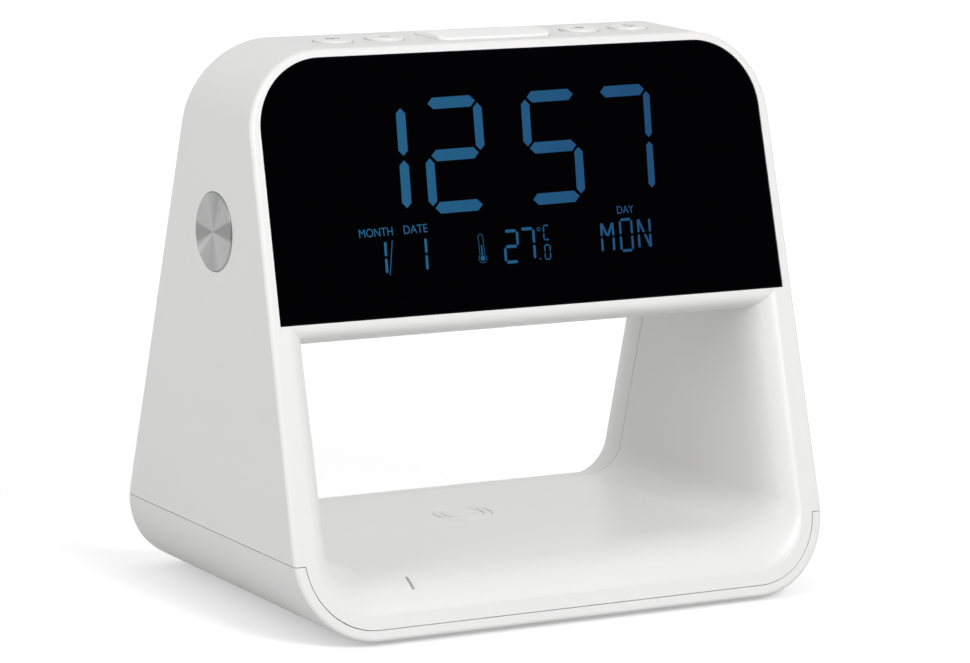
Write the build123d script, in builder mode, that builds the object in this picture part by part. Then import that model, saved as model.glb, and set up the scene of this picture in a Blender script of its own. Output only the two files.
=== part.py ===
from build123d import *
import os
from math import atan, cos, degrees, radians, sin, tan

# A bedside alarm clock with a charging tunnel under its display head.
# The front faces -Y, +X is to the right seen from the front, and the feet stand on z = 0.

# Overall form of the housing
base_width = 150.0          # across the flanks, at the underside
base_depth = 103.0          # front to back, at the underside
top_depth = 28.07           # front to back, at the top
front_share = 0.5189        # share of the narrowing that the front takes
housing_height = 137.4      # underside to top
head_height = 69.9          # the tunnel's ceiling to the top
leg_width = 12.7            # flank to tunnel
side_lean = 0.8             # degrees each flank leans in
corner_r = 20.6             # outer corners of the loop, seen from the front
front_edge_r = 1.0
rear_edge_r = 2.5
foot_stand = 1.0            # the feet hold the underside this far above the table

# Walls and seams
skin = 2.8                  # outer walls, and the bottom cover
tube_wall = 2.2             # walls of the tunnel
seam = 0.2                  # gap at a parting line
embed = 0.4                 # how far a boss runs into the wall that carries it
overrun = 8.0               # how far cutting solids run past what they cut
seam_height = 19.0          # top edge of the bottom cover, above the underside

# Tunnel, and the flare that widens it at both mouths
deck_height = 15.0          # deck above the underside
tunnel_corner_r = 8.0       # lower corners
flare_depth = 14.0
flare_side = 6.6            # how much wider each side is at the face
flare_below = 8.9           # how much lower the lip is at the face
flare_above = 6.3           # how much higher the chin is at the face
flare_steps = 6

# Display window
lens_thickness = 2.0
lens_ledge = 1.6            # wall behind the lens
lens_side_rim = 2.9         # housing left beside the lens
lens_top_rim = 2.0
lens_chin = 6.6             # housing between the tunnel's ceiling and the lens
lens_corner_r = 17.6
lens_gap = 0.1
lens_edge_break = 0.25

# Display stack, behind the ledge
lcd_side = 19.0             # from the flank's foot to the end of the glass
lcd_short = 21.3            # the glass is this much shorter than the head
lcd_foot = 3.6              # its lower edge above the lens's
lcd_thickness = 2.2
window_margin = 1.2         # glass hidden behind the window's edge
stack_gap = 0.1
guide_thickness = 3.8
guide_foot = 4.4            # glass left free below the light guide for the contact strip
bezel_wall = 2.0
bezel_lip = 2.0
bezel_lip_thickness = 1.2
contact_strip_width = 2.4
contact_strip_length_share = 0.86
board_thickness = 1.6
main_board_margin = 7.2     # main board past the glass at each end
main_board_short = 2.3      # and within it at the top and the foot
ear_r = 3.3                 # bezel ears under the screws
display_post_r = 2.6
display_post_height = 3.2
ear_rise_share = 0.4        # ears above and below the centre, as a share of the glass height
ear_out = 5.0               # ear screws past the glass at each end

# Screws, one size throughout
screw_r = 1.1
screw_head_r = 2.1
screw_head_height = 1.5
screw_grip = 6.0            # thread held in a boss
screw_pass = 0.2            # radial room where a screw passes through
pilot_gap = 0.03
boss_r = 3.0
drive_r = 0.7
drive_share = 0.55          # depth of the cross recess, as a share of the head

# Top keys
key_r = 4.8
key_rise = 0.7              # crown above the top face
key_edge_r = 0.4
key_gap = 0.25
key_side = 33.0             # outer keys in from the flank's foot
key_spacing = 14.3
key_flange = 1.1            # flange past the cap
key_flange_thickness = 1.2
key_travel = 0.5
rest_gap = 0.2              # between a moving flange and its wall
bar_to_key = 7.15           # between the bar and the inner keys
bar_depth = 15.0
bar_corner_r = 2.6
bar_rise = 0.55             # edge of the bar above the top face
bar_crown = 0.85            # extra height at its middle
bar_wall = 1.6
pin_hole_r = 0.35
pin_hole_out = 7.2          # past the inner keys
pin_hole_depth = 0.6

# Click switches
switch_size = 6.0
switch_height = 3.5
plunger_r = 1.6
plunger_gap = 0.1
plunger_length = 2.8
plunger_room = 0.5          # free depth below the pressed plunger
switch_drop = 1.2           # switch top below the flange
key_board_end = 2.7         # board past its posts
key_board_front = 7.0       # board edge in front of the key row
key_board_rear = 9.6
key_post_out = 8.9          # posts past the outer keys
key_post_front = 1.6        # front posts, ahead of the key row
key_post_rear = 6.0
key_post_r = 2.3

# Disc button in the left flank
disc_r = 9.65
disc_up = 25.0              # above the tunnel's ceiling
disc_thickness = 1.0
disc_rise = 0.35
disc_bevel = 0.3
disc_gap = 0.15
carrier_flange = 1.1
carrier_flange_thickness = 1.2
carrier_inset = 0.3
disc_board_depth = 20.6     # front to rear
disc_board_height = 22.0
disc_board_shift = 5.3      # its centre behind the disc's
disc_post_back = 12.6       # posts behind the disc's centre
disc_post_rise = 8.5        # and above and below it
disc_post_r = 2.4

# Rear cover and what it carries
cover_thickness = 2.6
cover_post_inset = 4.1      # posts in from the inside of the flanks
cover_post_up = 11.5        # lower ones above the tunnel's ceiling
cover_post_down = 25.4      # upper ones below the top
cover_boss_length = 7.0     # from the rear face to the housing's posts
usb_width = 9.0
usb_height = 3.3
usb_depth = 7.4
usb_wall = 0.3
usb_gap = 0.3
usb_setback = 0.8
usb_up = 18.5               # above the tunnel's ceiling
usb_tongue_thickness = 0.7
usb_board_width = 20.0
usb_board_depth = 15.0
usb_board_thickness = 1.2
usb_rail_width = 2.0
usb_rail_height = 3.0
speaker_side = 39.0         # in from the flank's foot
speaker_down = 33.4         # below the top
speaker_r = 14.0
speaker_rim_thickness = 1.4
speaker_basket_depth = 7.0
speaker_basket_r_share = 0.62
speaker_magnet_r_share = 0.54
speaker_magnet_height = 4.0
speaker_sheet = 0.6
speaker_seat = 0.8
grille_hole_r = 0.9
grille_pitch = 3.0
grille_rings = 3
cell_down = 34.4            # below the top
cell_r = 10.0
cell_thickness = 3.2
cell_gap = 0.3
cell_cup_wall = 1.6
cell_cup_floor = 1.2
door_length = 36.0
door_width = 25.0
door_corner_r = 4.0
door_thickness = 1.5
door_screw_head = 0.8
door_gap = 0.15
door_screw_offset = 14.6

# Charging base
coil_end = 45.5             # centre of the charging pad, in from the back
coil_r = 22.0
coil_bore_r = 10.0
coil_thickness = 1.3
ferrite_r = 24.0
ferrite_thickness = 0.8
coil_tray_size = 52.0
coil_tray_thickness = 1.0
coil_post_inset = 3.4
charger_board_side = 29.0   # in from the flank's foot
charger_board_depth = 40.0
charger_board_thickness = 1.2
charger_board_y = -6.0
charger_board_stand = 2.2   # board above the bottom cover's floor
charger_post_inset = 3.6    # from the board's ends
charger_post_side = 8.0     # from its long edges
base_screw_side = 23.0      # in from the flanks
base_screw_end = 27.5       # in from the front and the back
foot_r = 4.5
foot_side = 28.0
foot_end = 11.5
foot_recess = 0.6

# Charging mark engraved in the deck
mark_outer_r = 8.0
mark_line = 0.7
mark_ring_gap = 2.2
mark_depth = 0.25

# Charge indicator in the front lip
pipe_side = 32.4            # in from the left flank
pipe_thickness = 0.6
pipe_length = 3.8
pipe_setback = 5.3          # in from the front
pipe_leg_height = 1.6
pipe_gap = 0.08
led_size = 2.0
led_height = 1.4

# Small parts on the boards
chip_height = 1.2
main_chip_size = 10.0
driver_chip_size = 7.0
plug_length = 8.0
plug_width = 4.0
plug_height = 3.0
charger_chip_size = 6.0
inductor_size = 7.0
inductor_height = 2.0
sensor_r = 1.2
sensor_length = 4.0
lead_r = 0.25
lead_spread = 1.2
wire_r = 1.2
wire_bend_r = 3.4
wire_corner_r = 13.5        # round the tunnel's lower corner
wire_reach = 7.0            # straight run out of the plug
wire_clear = 0.45
ribbon_width = 12.0
ribbon_thickness = 0.3

# Levels and faces worked out from the sizes above
half_width = base_width / 2
half_depth = base_depth / 2
tunnel_width = base_width - 2 * leg_width
ceiling_height = housing_height - head_height
floor_z = foot_stand
top_z = floor_z + housing_height
seam_z = floor_z + seam_height
deck_z = floor_z + deck_height
ceiling_z = floor_z + ceiling_height
front_wall = lens_thickness + lens_ledge
collar_depth = flare_depth
side_slope = tan(radians(side_lean))
front_slope = front_share * (base_depth - top_depth) / housing_height
rear_slope = (1 - front_share) * (base_depth - top_depth) / housing_height
front_lean, rear_lean = degrees(atan(front_slope)), degrees(atan(rear_slope))
front_cos, front_sin = cos(radians(front_lean)), sin(radians(front_lean))
rear_cos, rear_sin = cos(radians(rear_lean)), sin(radians(rear_lean))


def flank_x(z):
    """Half width of the housing at height z."""
    return half_width - (z - floor_z) * side_slope


def front_y(z, inset=0.0):
    """Y of the front face at height z, moved in by inset square to the face."""
    return -half_depth + (z - floor_z) * front_slope + inset / front_cos


def rear_y(z, inset=0.0):
    """Y of the rear face at height z, moved in by inset square to the face."""
    return half_depth - (z - floor_z) * rear_slope - inset / rear_cos


# Work planes on the leaning faces: local x runs across, local y runs up the slope
front_face = Plane(origin=(0, -half_depth, floor_z), x_dir=(1, 0, 0), z_dir=(0, -front_cos, front_sin))
rear_face = Plane(origin=(0, half_depth, floor_z), x_dir=(-1, 0, 0), z_dir=(0, rear_cos, rear_sin))
disc_z = ceiling_z + disc_up
disc_face = Plane(
    origin=(-flank_x(disc_z), 0, disc_z),
    x_dir=(0, -1, 0),
    z_dir=(-cos(radians(side_lean)), 0, sin(radians(side_lean))),
)


def up_front(z, depth=0.0):
    """Local height on the front face of level z, at a depth behind the face."""
    return (z - floor_z + depth * front_sin) / front_cos


def up_rear(z, depth=0.0):
    """Local height on the rear face of level z, at a depth behind the face."""
    return (z - floor_z + depth * rear_sin) / rear_cos


def loop_outline(inset):
    """The rounded outline of the housing seen from the front, moved in by inset."""
    with BuildSketch(Plane.XZ) as outline:
        with BuildLine():
            Polyline(
                (-flank_x(floor_z), floor_z),
                (flank_x(floor_z), floor_z),
                (flank_x(top_z), top_z),
                (-flank_x(top_z), top_z),
                close=True,
            )
        make_face()
        fillet(outline.vertices(), corner_r)
        if inset > 0:
            offset(amount=-inset)
    return outline.sketch


def slab(inset, front_line, rear_line):
    """The housing's outline moved in by inset, between two lines of y over height."""
    with BuildPart() as block:
        extrude(loop_outline(inset), amount=base_depth, both=True)
        with BuildSketch(Plane.YZ.offset(-half_width)):
            with BuildLine():
                Polyline(
                    (front_line(floor_z), floor_z),
                    (rear_line(floor_z), floor_z),
                    (rear_line(top_z), top_z),
                    (front_line(top_z), top_z),
                    close=True,
                )
            make_face()
        extrude(amount=base_width, mode=Mode.INTERSECT)
    return block.part


def mouth(face, lean, depth, ease, grow):
    """One section of the tunnel on a leaning plane; ease runs from 1 at the face to 0 inside."""
    wide = tunnel_width / 2 + flare_side * ease + grow
    high = (ceiling_height + flare_above * ease + grow + depth * sin(radians(lean))) / cos(radians(lean))
    low = (deck_height - flare_below * ease - grow + depth * sin(radians(lean))) / cos(radians(lean))
    with BuildSketch(face.offset(-depth)) as section:
        with BuildLine():
            Polyline((-wide, high), (-wide, low), (wide, low), (wide, high), close=True)
        make_face()
        lower_corners = section.vertices().group_by(Axis.Y)[0]
        fillet(lower_corners, tunnel_corner_r + flare_side * ease + grow)
    return section.sketch


def flare_sections(face, lean, grow):
    """Sections down the quarter ellipse that blends the face into the tunnel wall."""
    turns = [90.0 * step / flare_steps for step in range(flare_steps + 1)]
    return [
        mouth(face, lean, flare_depth * (1 - cos(radians(turn))), 1 - sin(radians(turn)), grow)
        for turn in turns
    ]


def tunnel_form(grow):
    """The tunnel's space from front to rear, with all its walls moved out by grow."""
    front_sections = flare_sections(front_face, front_lean, grow)
    rear_sections = flare_sections(rear_face, rear_lean, grow)
    with BuildPart() as form:
        loft(sections=front_sections)
        loft(sections=rear_sections)
        loft(sections=[front_sections[-1], rear_sections[-1]], ruled=True)
    return form.part


def screw(length, head_height=screw_head_height):
    """A cross-head screw along local -Z with the seat of its head at the origin."""
    with BuildPart() as fastener:
        with BuildSketch(Plane.XY):
            Circle(screw_r)
        extrude(amount=-length)
        with BuildSketch(Plane.XY):
            Circle(screw_head_r)
        extrude(amount=head_height)
        with BuildSketch(Plane.XY.offset(head_height)):
            Rectangle(2 * drive_r, drive_r / 2)
            Rectangle(drive_r / 2, 2 * drive_r)
        extrude(amount=-head_height * drive_share, mode=Mode.SUBTRACT)
    return fastener.part


def save(part, name):
    """Label a finished piece and write it."""
    part.label = name
    export_step(part, f"parts/{name}.step")


def posts(face, centres, radius, start, end):
    """Round posts standing square on a plane, between two local heights."""
    with BuildPart() as group:
        with BuildSketch(face.offset(start)):
            with Locations(*centres):
                Circle(radius)
        extrude(amount=end - start)
    return group.part


def screws_at(planes, length, head_height=screw_head_height):
    """Screws with their heads on the +Z side of each plane."""
    one = screw(length, head_height)
    with BuildPart() as group:
        with Locations(*planes):
            add(one)
    return group.part


os.makedirs("parts", exist_ok=True)

# The outer form, and the space inside it, shared by the housing pieces
with BuildPart() as envelope:
    add(slab(0, front_y, rear_y))
    front_rim = envelope.faces().sort_by(Axis((0, 0, 0), tuple(front_face.z_dir)))[-1]
    fillet(front_rim.edges(), front_edge_r)
    rear_rim = envelope.faces().sort_by(Axis((0, 0, 0), tuple(rear_face.z_dir)))[-1]
    fillet(rear_rim.edges(), rear_edge_r)

tunnel_space = tunnel_form(0)
tunnel_tube = tunnel_form(tube_wall)
front_zone = slab(0, lambda z: front_y(z, -overrun), lambda z: rear_y(z, collar_depth + seam))
rear_zone = slab(0, lambda z: rear_y(z, collar_depth), rear_y)

with BuildPart() as front_tube:
    add(tunnel_tube)
    add(front_zone, mode=Mode.INTERSECT)

with BuildPart() as rear_tube:
    add(tunnel_tube)
    add(rear_zone, mode=Mode.INTERSECT)

with BuildPart() as hollow:
    add(slab(skin, lambda z: front_y(z, front_wall), lambda z: rear_y(z, -overrun)))
    add(front_tube.part, mode=Mode.SUBTRACT)

with BuildPart() as cover_space:
    with BuildSketch(Plane.XY.offset(floor_z - overrun)):
        Rectangle(base_width + overrun, base_depth + overrun)
    extrude(amount=overrun + seam_height + seam)
    add(slab(skin + seam, lambda z: front_y(z, -overrun), lambda z: rear_y(z, -overrun)), mode=Mode.SUBTRACT)

# Levels of the key stack under the top wall
key_wall_z = top_z - skin
flange_top = key_wall_z - rest_gap
flange_bottom = flange_top - key_flange_thickness
switch_top = flange_bottom - switch_drop
key_board_top = switch_top - switch_height
key_board_bottom = key_board_top - board_thickness
key_outer_x = half_width - key_side
key_inner_x = key_outer_x - key_spacing
key_post_x = key_outer_x + key_post_out
pin_hole_x = key_inner_x + pin_hole_out
bar_length = 2 * (key_inner_x - key_r - bar_to_key)
key_names = ["set_key", "minus_key", "plus_key", "alarm_key"]
key_places = [-key_outer_x, -key_inner_x, key_inner_x, key_outer_x]
key_posts = [(x, y) for x in (-key_post_x, key_post_x) for y in (-key_post_front, key_post_rear)]

# Depths of the display stack behind the front face, and its local heights
lcd_front = front_wall + stack_gap
lcd_back = lcd_front + lcd_thickness
guide_back = lcd_back + guide_thickness
bezel_back = guide_back + stack_gap + bezel_lip_thickness
board_back = bezel_back + board_thickness
ear_front = front_wall + display_post_height
lcd_width = base_width - 2 * lcd_side
lcd_height = head_height - lcd_short
main_board_height = lcd_height - 2 * main_board_short
lens_bottom_z = ceiling_z + lens_chin
display_v = up_front(lens_bottom_z + lcd_foot + lcd_height / 2, lcd_front)
ear_x = lcd_width / 2 + ear_out
ear_rise = ear_rise_share * lcd_height
ear_places = [(x, display_v + y) for x in (-ear_x, ear_x) for y in (-ear_rise, ear_rise)]

# Places of the rear cover's screws
cover_screw_places = []
for post_z in (ceiling_z + cover_post_up, top_z - cover_post_down):
    post_x = flank_x(post_z) - skin - cover_post_inset
    cover_screw_places += [(-post_x, post_z), (post_x, post_z)]

# Depths of the disc button behind the left flank
carrier_seat = disc_rise - disc_thickness
carrier_flange_top = -skin - rest_gap
carrier_back = carrier_flange_top - carrier_flange_thickness
disc_switch_top = carrier_back - switch_drop
disc_board_top = disc_switch_top - switch_height
disc_posts = [(-disc_post_back, -disc_post_rise), (-disc_post_back, disc_post_rise)]

# Levels in the base
cover_floor_z = floor_z + skin
deck_under_z = deck_z - tube_wall
coil_top_z = deck_under_z - stack_gap
ferrite_top_z = coil_top_z - coil_thickness
coil_tray_top_z = ferrite_top_z - ferrite_thickness
charger_board_z = cover_floor_z + charger_board_stand
charger_board_top = charger_board_z + charger_board_thickness
led_top_z = charger_board_top + led_height
charger_board_length = base_width - 2 * charger_board_side
coil_y = half_depth - coil_end
pipe_x = pipe_side - half_width
pipe_front_y = pipe_setback - half_depth
base_screw_x, base_screw_y = half_width - base_screw_side, half_depth - base_screw_end
foot_x, foot_y = half_width - foot_side, half_depth - foot_end
coil_post_out = coil_tray_size / 2 - coil_post_inset
coil_posts = [
    (x, coil_y + y)
    for x in (-coil_post_out, coil_post_out)
    for y in (-coil_post_out, coil_post_out)
]
charger_posts = [
    (x, charger_board_y + y)
    for x in (charger_post_inset - charger_board_length / 2, charger_board_length / 2 - charger_post_inset)
    for y in (charger_post_side - charger_board_depth / 2, charger_board_depth / 2 - charger_post_side)
]
base_screw_places = [(x, y) for x in (-base_screw_x, base_screw_x) for y in (-base_screw_y, base_screw_y)]
pilot_r = screw_r + pilot_gap
pass_r = screw_r + screw_pass
head_pocket_r = screw_head_r + screw_pass

# Long posts from the front wall back to the rear cover's bosses
with BuildPart() as long_posts:
    with BuildSketch(Plane.XZ):
        with Locations(*cover_screw_places):
            Circle(boss_r)
    extrude(amount=base_depth, both=True)
    add(slab(0, lambda z: front_y(z, front_wall - embed), lambda z: rear_y(z, cover_boss_length)),
        mode=Mode.INTERSECT)

with BuildPart() as long_pilots:
    with BuildSketch(Plane.XZ):
        with Locations(*cover_screw_places):
            Circle(pilot_r)
    extrude(amount=base_depth, both=True)
    add(slab(0, lambda z: rear_y(z, cover_boss_length + screw_grip + seam), lambda z: rear_y(z, -overrun)),
        mode=Mode.INTERSECT)


def lens_plate(grow, depth):
    """The lens's outline moved out by grow, from the front face down to depth."""
    lens_top = top_z - lens_top_rim
    with BuildPart() as plate:
        with BuildSketch(front_face) as window:
            with BuildLine():
                Polyline(
                    (-(flank_x(lens_bottom_z) - lens_side_rim), up_front(lens_bottom_z)),
                    (flank_x(lens_bottom_z) - lens_side_rim, up_front(lens_bottom_z)),
                    (flank_x(lens_top) - lens_side_rim, up_front(lens_top)),
                    (-(flank_x(lens_top) - lens_side_rim), up_front(lens_top)),
                    close=True,
                )
            make_face()
            upper_corners = window.vertices().group_by(Axis.Y)[-1]
            fillet(upper_corners, lens_corner_r)
            if grow > 0:
                offset(amount=grow, kind=Kind.INTERSECTION)
        extrude(amount=-depth)
    return plate.part


# Main housing: outer walls, front rim, deck and tunnel walls in one moulding, open behind
with BuildPart() as main_housing:
    add(envelope.part)
    add(hollow.part, mode=Mode.SUBTRACT)
    add(long_posts.part)
    add(posts(front_face, ear_places, display_post_r, -ear_front, embed - front_wall))
    add(posts(Plane.XY, key_posts, key_post_r, key_board_top, key_wall_z + embed))
    add(posts(disc_face, disc_posts, disc_post_r, disc_board_top, embed - skin))
    add(posts(Plane.XY, base_screw_places, boss_r, cover_floor_z + seam, deck_under_z + embed))
    add(posts(Plane.XY, coil_posts, key_post_r, coil_tray_top_z, deck_under_z + embed))
    # pilot holes for the screws
    add(long_pilots.part, mode=Mode.SUBTRACT)
    add(posts(front_face, ear_places, pilot_r, -ear_front, -front_wall), mode=Mode.SUBTRACT)
    add(posts(Plane.XY, key_posts, pilot_r, key_board_top, key_wall_z), mode=Mode.SUBTRACT)
    add(posts(disc_face, disc_posts, pilot_r, disc_board_top, -skin), mode=Mode.SUBTRACT)
    add(posts(Plane.XY, base_screw_places, pilot_r, cover_floor_z, deck_under_z), mode=Mode.SUBTRACT)
    add(posts(Plane.XY, coil_posts, pilot_r, coil_tray_top_z, deck_under_z), mode=Mode.SUBTRACT)
    # the tunnel, the bottom cover's place and the rear cover's collar
    add(tunnel_space, mode=Mode.SUBTRACT)
    add(cover_space.part, mode=Mode.SUBTRACT)
    # the display's recess and window
    add(lens_plate(lens_gap, lens_thickness), mode=Mode.SUBTRACT)
    with BuildSketch(front_face.offset(overrun)):
        with Locations((0, display_v)):
            Rectangle(lcd_width - 2 * window_margin, lcd_height - 2 * window_margin)
    extrude(amount=-overrun - front_wall - embed, mode=Mode.SUBTRACT)
    # openings for the keys, the bar and the disc
    with BuildSketch(Plane.XY.offset(key_wall_z - embed)):
        with Locations(*[(x, 0) for x in key_places]):
            Circle(key_r + key_gap)
        RectangleRounded(bar_length + 2 * key_gap, bar_depth + 2 * key_gap, bar_corner_r + key_gap)
    extrude(amount=skin + 2 * embed, mode=Mode.SUBTRACT)
    with BuildSketch(Plane.XY.offset(top_z - pin_hole_depth)):
        with Locations((-pin_hole_x, 0), (pin_hole_x, 0)):
            Circle(pin_hole_r)
    extrude(amount=pin_hole_depth, mode=Mode.SUBTRACT)
    add(posts(disc_face, [(0, 0)], disc_r + disc_gap, -skin - embed, embed), mode=Mode.SUBTRACT)
    # the slot of the charge indicator and the engraved mark
    with BuildSketch(Plane.XY.offset(led_top_z)):
        with Locations((pipe_x, pipe_front_y + pipe_length / 2)):
            Rectangle(pipe_thickness + 2 * pipe_gap, pipe_length + 2 * pipe_gap)
    extrude(amount=deck_z - led_top_z, mode=Mode.SUBTRACT)
    with BuildSketch(Plane.XY.offset(deck_z - mark_depth)):
        with Locations((0, coil_y)):
            for ring_r in (mark_outer_r, mark_outer_r - mark_ring_gap):
                Circle(ring_r)
                Circle(ring_r - mark_line, mode=Mode.SUBTRACT)
    extrude(amount=mark_depth + embed, mode=Mode.SUBTRACT)
save(main_housing.part, "main_housing")

# Rear cover: a plate inside the outer walls, with the collar that makes the tunnel's rear mouth
speaker_x = half_width - speaker_side
cell_x = -speaker_x
speaker_v = up_rear(top_z - speaker_down, cover_thickness)
cell_v = up_rear(top_z - cell_down, cover_thickness)
usb_v = up_rear(ceiling_z + usb_up, cover_thickness)
door_shift = (door_length - door_width) / 2
door_centre = (-cell_x + door_shift, cell_v)
door_screw_place = (-cell_x + door_screw_offset, cell_v)
door_pocket_depth = door_thickness + stack_gap
usb_board_top = usb_v - usb_height / 2
rail_top = usb_board_top - usb_board_thickness
rail_places = [(x, rail_top - usb_rail_height / 2) for x in (-usb_board_width / 3, usb_board_width / 3)]
grille_places = []
for ring in range(1, grille_rings + 1):
    holes_in_ring = 6 * ring
    for step in range(holes_in_ring):
        turn = radians(360.0 * step / holes_in_ring)
        grille_places.append((
            -speaker_x + ring * grille_pitch * cos(turn),
            speaker_v + ring * grille_pitch * sin(turn),
        ))

with BuildPart() as cover_bosses:
    with BuildSketch(Plane.XZ):
        with Locations(*cover_screw_places):
            Circle(boss_r)
    extrude(amount=base_depth, both=True)
    add(slab(0, lambda z: rear_y(z, cover_boss_length - seam), lambda z: rear_y(z, embed)),
        mode=Mode.INTERSECT)

with BuildPart() as cover_bores:
    with BuildSketch(Plane.XZ):
        with Locations(*cover_screw_places):
            Circle(pass_r)
    extrude(amount=base_depth, both=True)
    for x, z in cover_screw_places:
        with BuildSketch(Plane.XZ.offset(-rear_y(z, screw_head_height + seam))):
            with Locations((x, z)):
                Circle(head_pocket_r)
        extrude(amount=-overrun)
    add(slab(0, lambda z: rear_y(z, cover_boss_length + overrun), lambda z: rear_y(z, -overrun)),
        mode=Mode.INTERSECT)

with BuildPart() as rear_cover:
    add(slab(skin + seam, lambda z: rear_y(z, cover_thickness), rear_y))
    add(rear_tube.part)
    add(cover_bosses.part)
    add(posts(rear_face, [door_screw_place], key_post_r, -cover_boss_length, -cover_thickness + embed))
    with BuildSketch(rear_face.offset(-usb_board_depth)):
        with Locations(*rail_places):
            Rectangle(usb_rail_width, usb_rail_height)
    extrude(amount=usb_board_depth - cover_thickness + embed)
    # the tunnel and the screw holes
    add(tunnel_space, mode=Mode.SUBTRACT)
    add(cover_bores.part, mode=Mode.SUBTRACT)
    # the charging socket's opening
    with BuildSketch(rear_face):
        with Locations((0, usb_v)):
            SlotOverall(usb_width + 2 * usb_gap, usb_height + 2 * usb_gap)
    extrude(amount=-cover_thickness - embed, mode=Mode.SUBTRACT)
    # the cell's opening, the door's pocket and its screw
    with BuildSketch(rear_face):
        with Locations(door_centre):
            RectangleRounded(door_length + 2 * door_gap, door_width + 2 * door_gap, door_corner_r + door_gap)
    extrude(amount=-door_pocket_depth, mode=Mode.SUBTRACT)
    add(posts(rear_face, [(-cell_x, cell_v)], cell_r + cell_gap, -cover_thickness - embed, 0),
        mode=Mode.SUBTRACT)
    add(posts(rear_face, [door_screw_place], pilot_r, -cover_boss_length, 0), mode=Mode.SUBTRACT)
    # the speaker's grille
    with BuildSketch(rear_face):
        with Locations((-speaker_x, speaker_v), *grille_places):
            Circle(grille_hole_r)
    extrude(amount=-cover_thickness - embed, mode=Mode.SUBTRACT)
save(rear_cover.part, "rear_cover")

# Bottom cover: a tray whose sides wrap up the legs to the seam
head_seat_z = floor_z + screw_head_height + seam
with BuildPart() as bottom_cover:
    add(envelope.part)
    with BuildSketch(Plane.XY.offset(seam_z)):
        Rectangle(base_width + overrun, base_depth + overrun)
    extrude(amount=housing_height, mode=Mode.SUBTRACT)
    add(slab(skin, lambda z: front_y(z, -overrun), lambda z: rear_y(z, -overrun)), mode=Mode.SUBTRACT)
    add(posts(Plane.XY, charger_posts, key_post_r, cover_floor_z - embed, charger_board_z))
    add(posts(Plane.XY, charger_posts, pilot_r, cover_floor_z - embed, charger_board_z), mode=Mode.SUBTRACT)
    add(posts(Plane.XY, base_screw_places, pass_r, floor_z, cover_floor_z), mode=Mode.SUBTRACT)
    add(posts(Plane.XY, base_screw_places, head_pocket_r, floor_z, head_seat_z), mode=Mode.SUBTRACT)
    foot_places = [(x, y) for x in (-foot_x, foot_x) for y in (-foot_y, foot_y)]
    add(posts(Plane.XY, foot_places, foot_r + stack_gap, floor_z, floor_z + foot_recess), mode=Mode.SUBTRACT)
save(bottom_cover.part, "bottom_cover")

with BuildPart() as rubber_feet:
    add(posts(Plane.XY, foot_places, foot_r, 0, floor_z + foot_recess))
save(rubber_feet.part, "rubber_feet")

# Screws of the housing
bottom_screw_length = cover_floor_z - head_seat_z + screw_grip
bottom_screw_planes = [Plane((x, y, head_seat_z), z_dir=(0, 0, -1)) for x, y in base_screw_places]
save(screws_at(bottom_screw_planes, bottom_screw_length), "bottom_cover_screws")
rear_screw_length = cover_boss_length - screw_head_height + screw_grip - seam
rear_screw_planes = [
    Plane((x, rear_y(z, screw_head_height + seam), z), z_dir=(0, 1, 0))
    for x, z in cover_screw_places
]
save(screws_at(rear_screw_planes, rear_screw_length), "rear_cover_screws")

# Smoked lens, flush in the front rim
with BuildPart() as display_lens:
    add(lens_plate(0, lens_thickness))
    front_edges = display_lens.faces().sort_by(Axis((0, 0, 0), tuple(front_face.z_dir)))[-1].edges()
    chamfer(front_edges, lens_edge_break)
save(display_lens.part, "display_lens")

# Display glass and the light guide behind it
with BuildPart() as lcd_glass:
    with BuildSketch(front_face.offset(-lcd_back)):
        with Locations((0, display_v)):
            Rectangle(lcd_width, lcd_height)
    extrude(amount=lcd_thickness)
save(lcd_glass.part, "lcd_glass")

with BuildPart() as light_guide:
    with BuildSketch(front_face.offset(-guide_back)):
        with Locations((0, display_v + guide_foot / 2)):
            Rectangle(lcd_width, lcd_height - guide_foot)
    extrude(amount=guide_thickness)
save(light_guide.part, "light_guide")

strip_v = display_v - lcd_height / 2 + guide_foot / 2
with BuildPart() as contact_strip:
    with BuildSketch(front_face.offset(-bezel_back)):
        with Locations((0, strip_v)):
            Rectangle(lcd_width * contact_strip_length_share, contact_strip_width)
    extrude(amount=bezel_back - lcd_back)
save(contact_strip.part, "contact_strip")

# Bezel: a frame round the glass, with ears over the housing's posts
frame_width = lcd_width + 2 * (stack_gap + bezel_wall)
frame_height = lcd_height + 2 * (stack_gap + bezel_wall)
with BuildPart() as display_bezel:
    with BuildSketch(front_face.offset(-bezel_back)):
        with Locations((0, display_v)):
            Rectangle(frame_width, frame_height)
    extrude(amount=bezel_back - lcd_front)
    with BuildSketch(front_face.offset(-bezel_back)):
        with Locations(*ear_places):
            Circle(ear_r)
        for x, y in ear_places:
            with Locations((x - ear_out / 2 if x > 0 else x + ear_out / 2, y)):
                Rectangle(ear_out, 2 * ear_r)
    extrude(amount=bezel_back - ear_front)
    with BuildSketch(front_face.offset(-guide_back - stack_gap)):
        with Locations((0, display_v)):
            Rectangle(lcd_width + 2 * stack_gap, lcd_height + 2 * stack_gap)
    extrude(amount=guide_back, mode=Mode.SUBTRACT)
    with BuildSketch(front_face.offset(-bezel_back)):
        with Locations((0, display_v - bezel_lip / 2)):
            Rectangle(lcd_width - 2 * bezel_lip, lcd_height - bezel_lip)
    extrude(amount=2 * bezel_lip_thickness, mode=Mode.SUBTRACT)
    add(posts(front_face, ear_places, pass_r, -bezel_back, -ear_front), mode=Mode.SUBTRACT)
save(display_bezel.part, "display_bezel")

# Main board on the back of the bezel, with its chips and plug
with BuildPart() as main_board:
    with BuildSketch(front_face.offset(-board_back)):
        with Locations((0, display_v)):
            Rectangle(lcd_width + 2 * main_board_margin, main_board_height)
        with Locations(*ear_places):
            Circle(pass_r, mode=Mode.SUBTRACT)
    extrude(amount=board_thickness)
save(main_board.part, "main_board")

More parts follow.
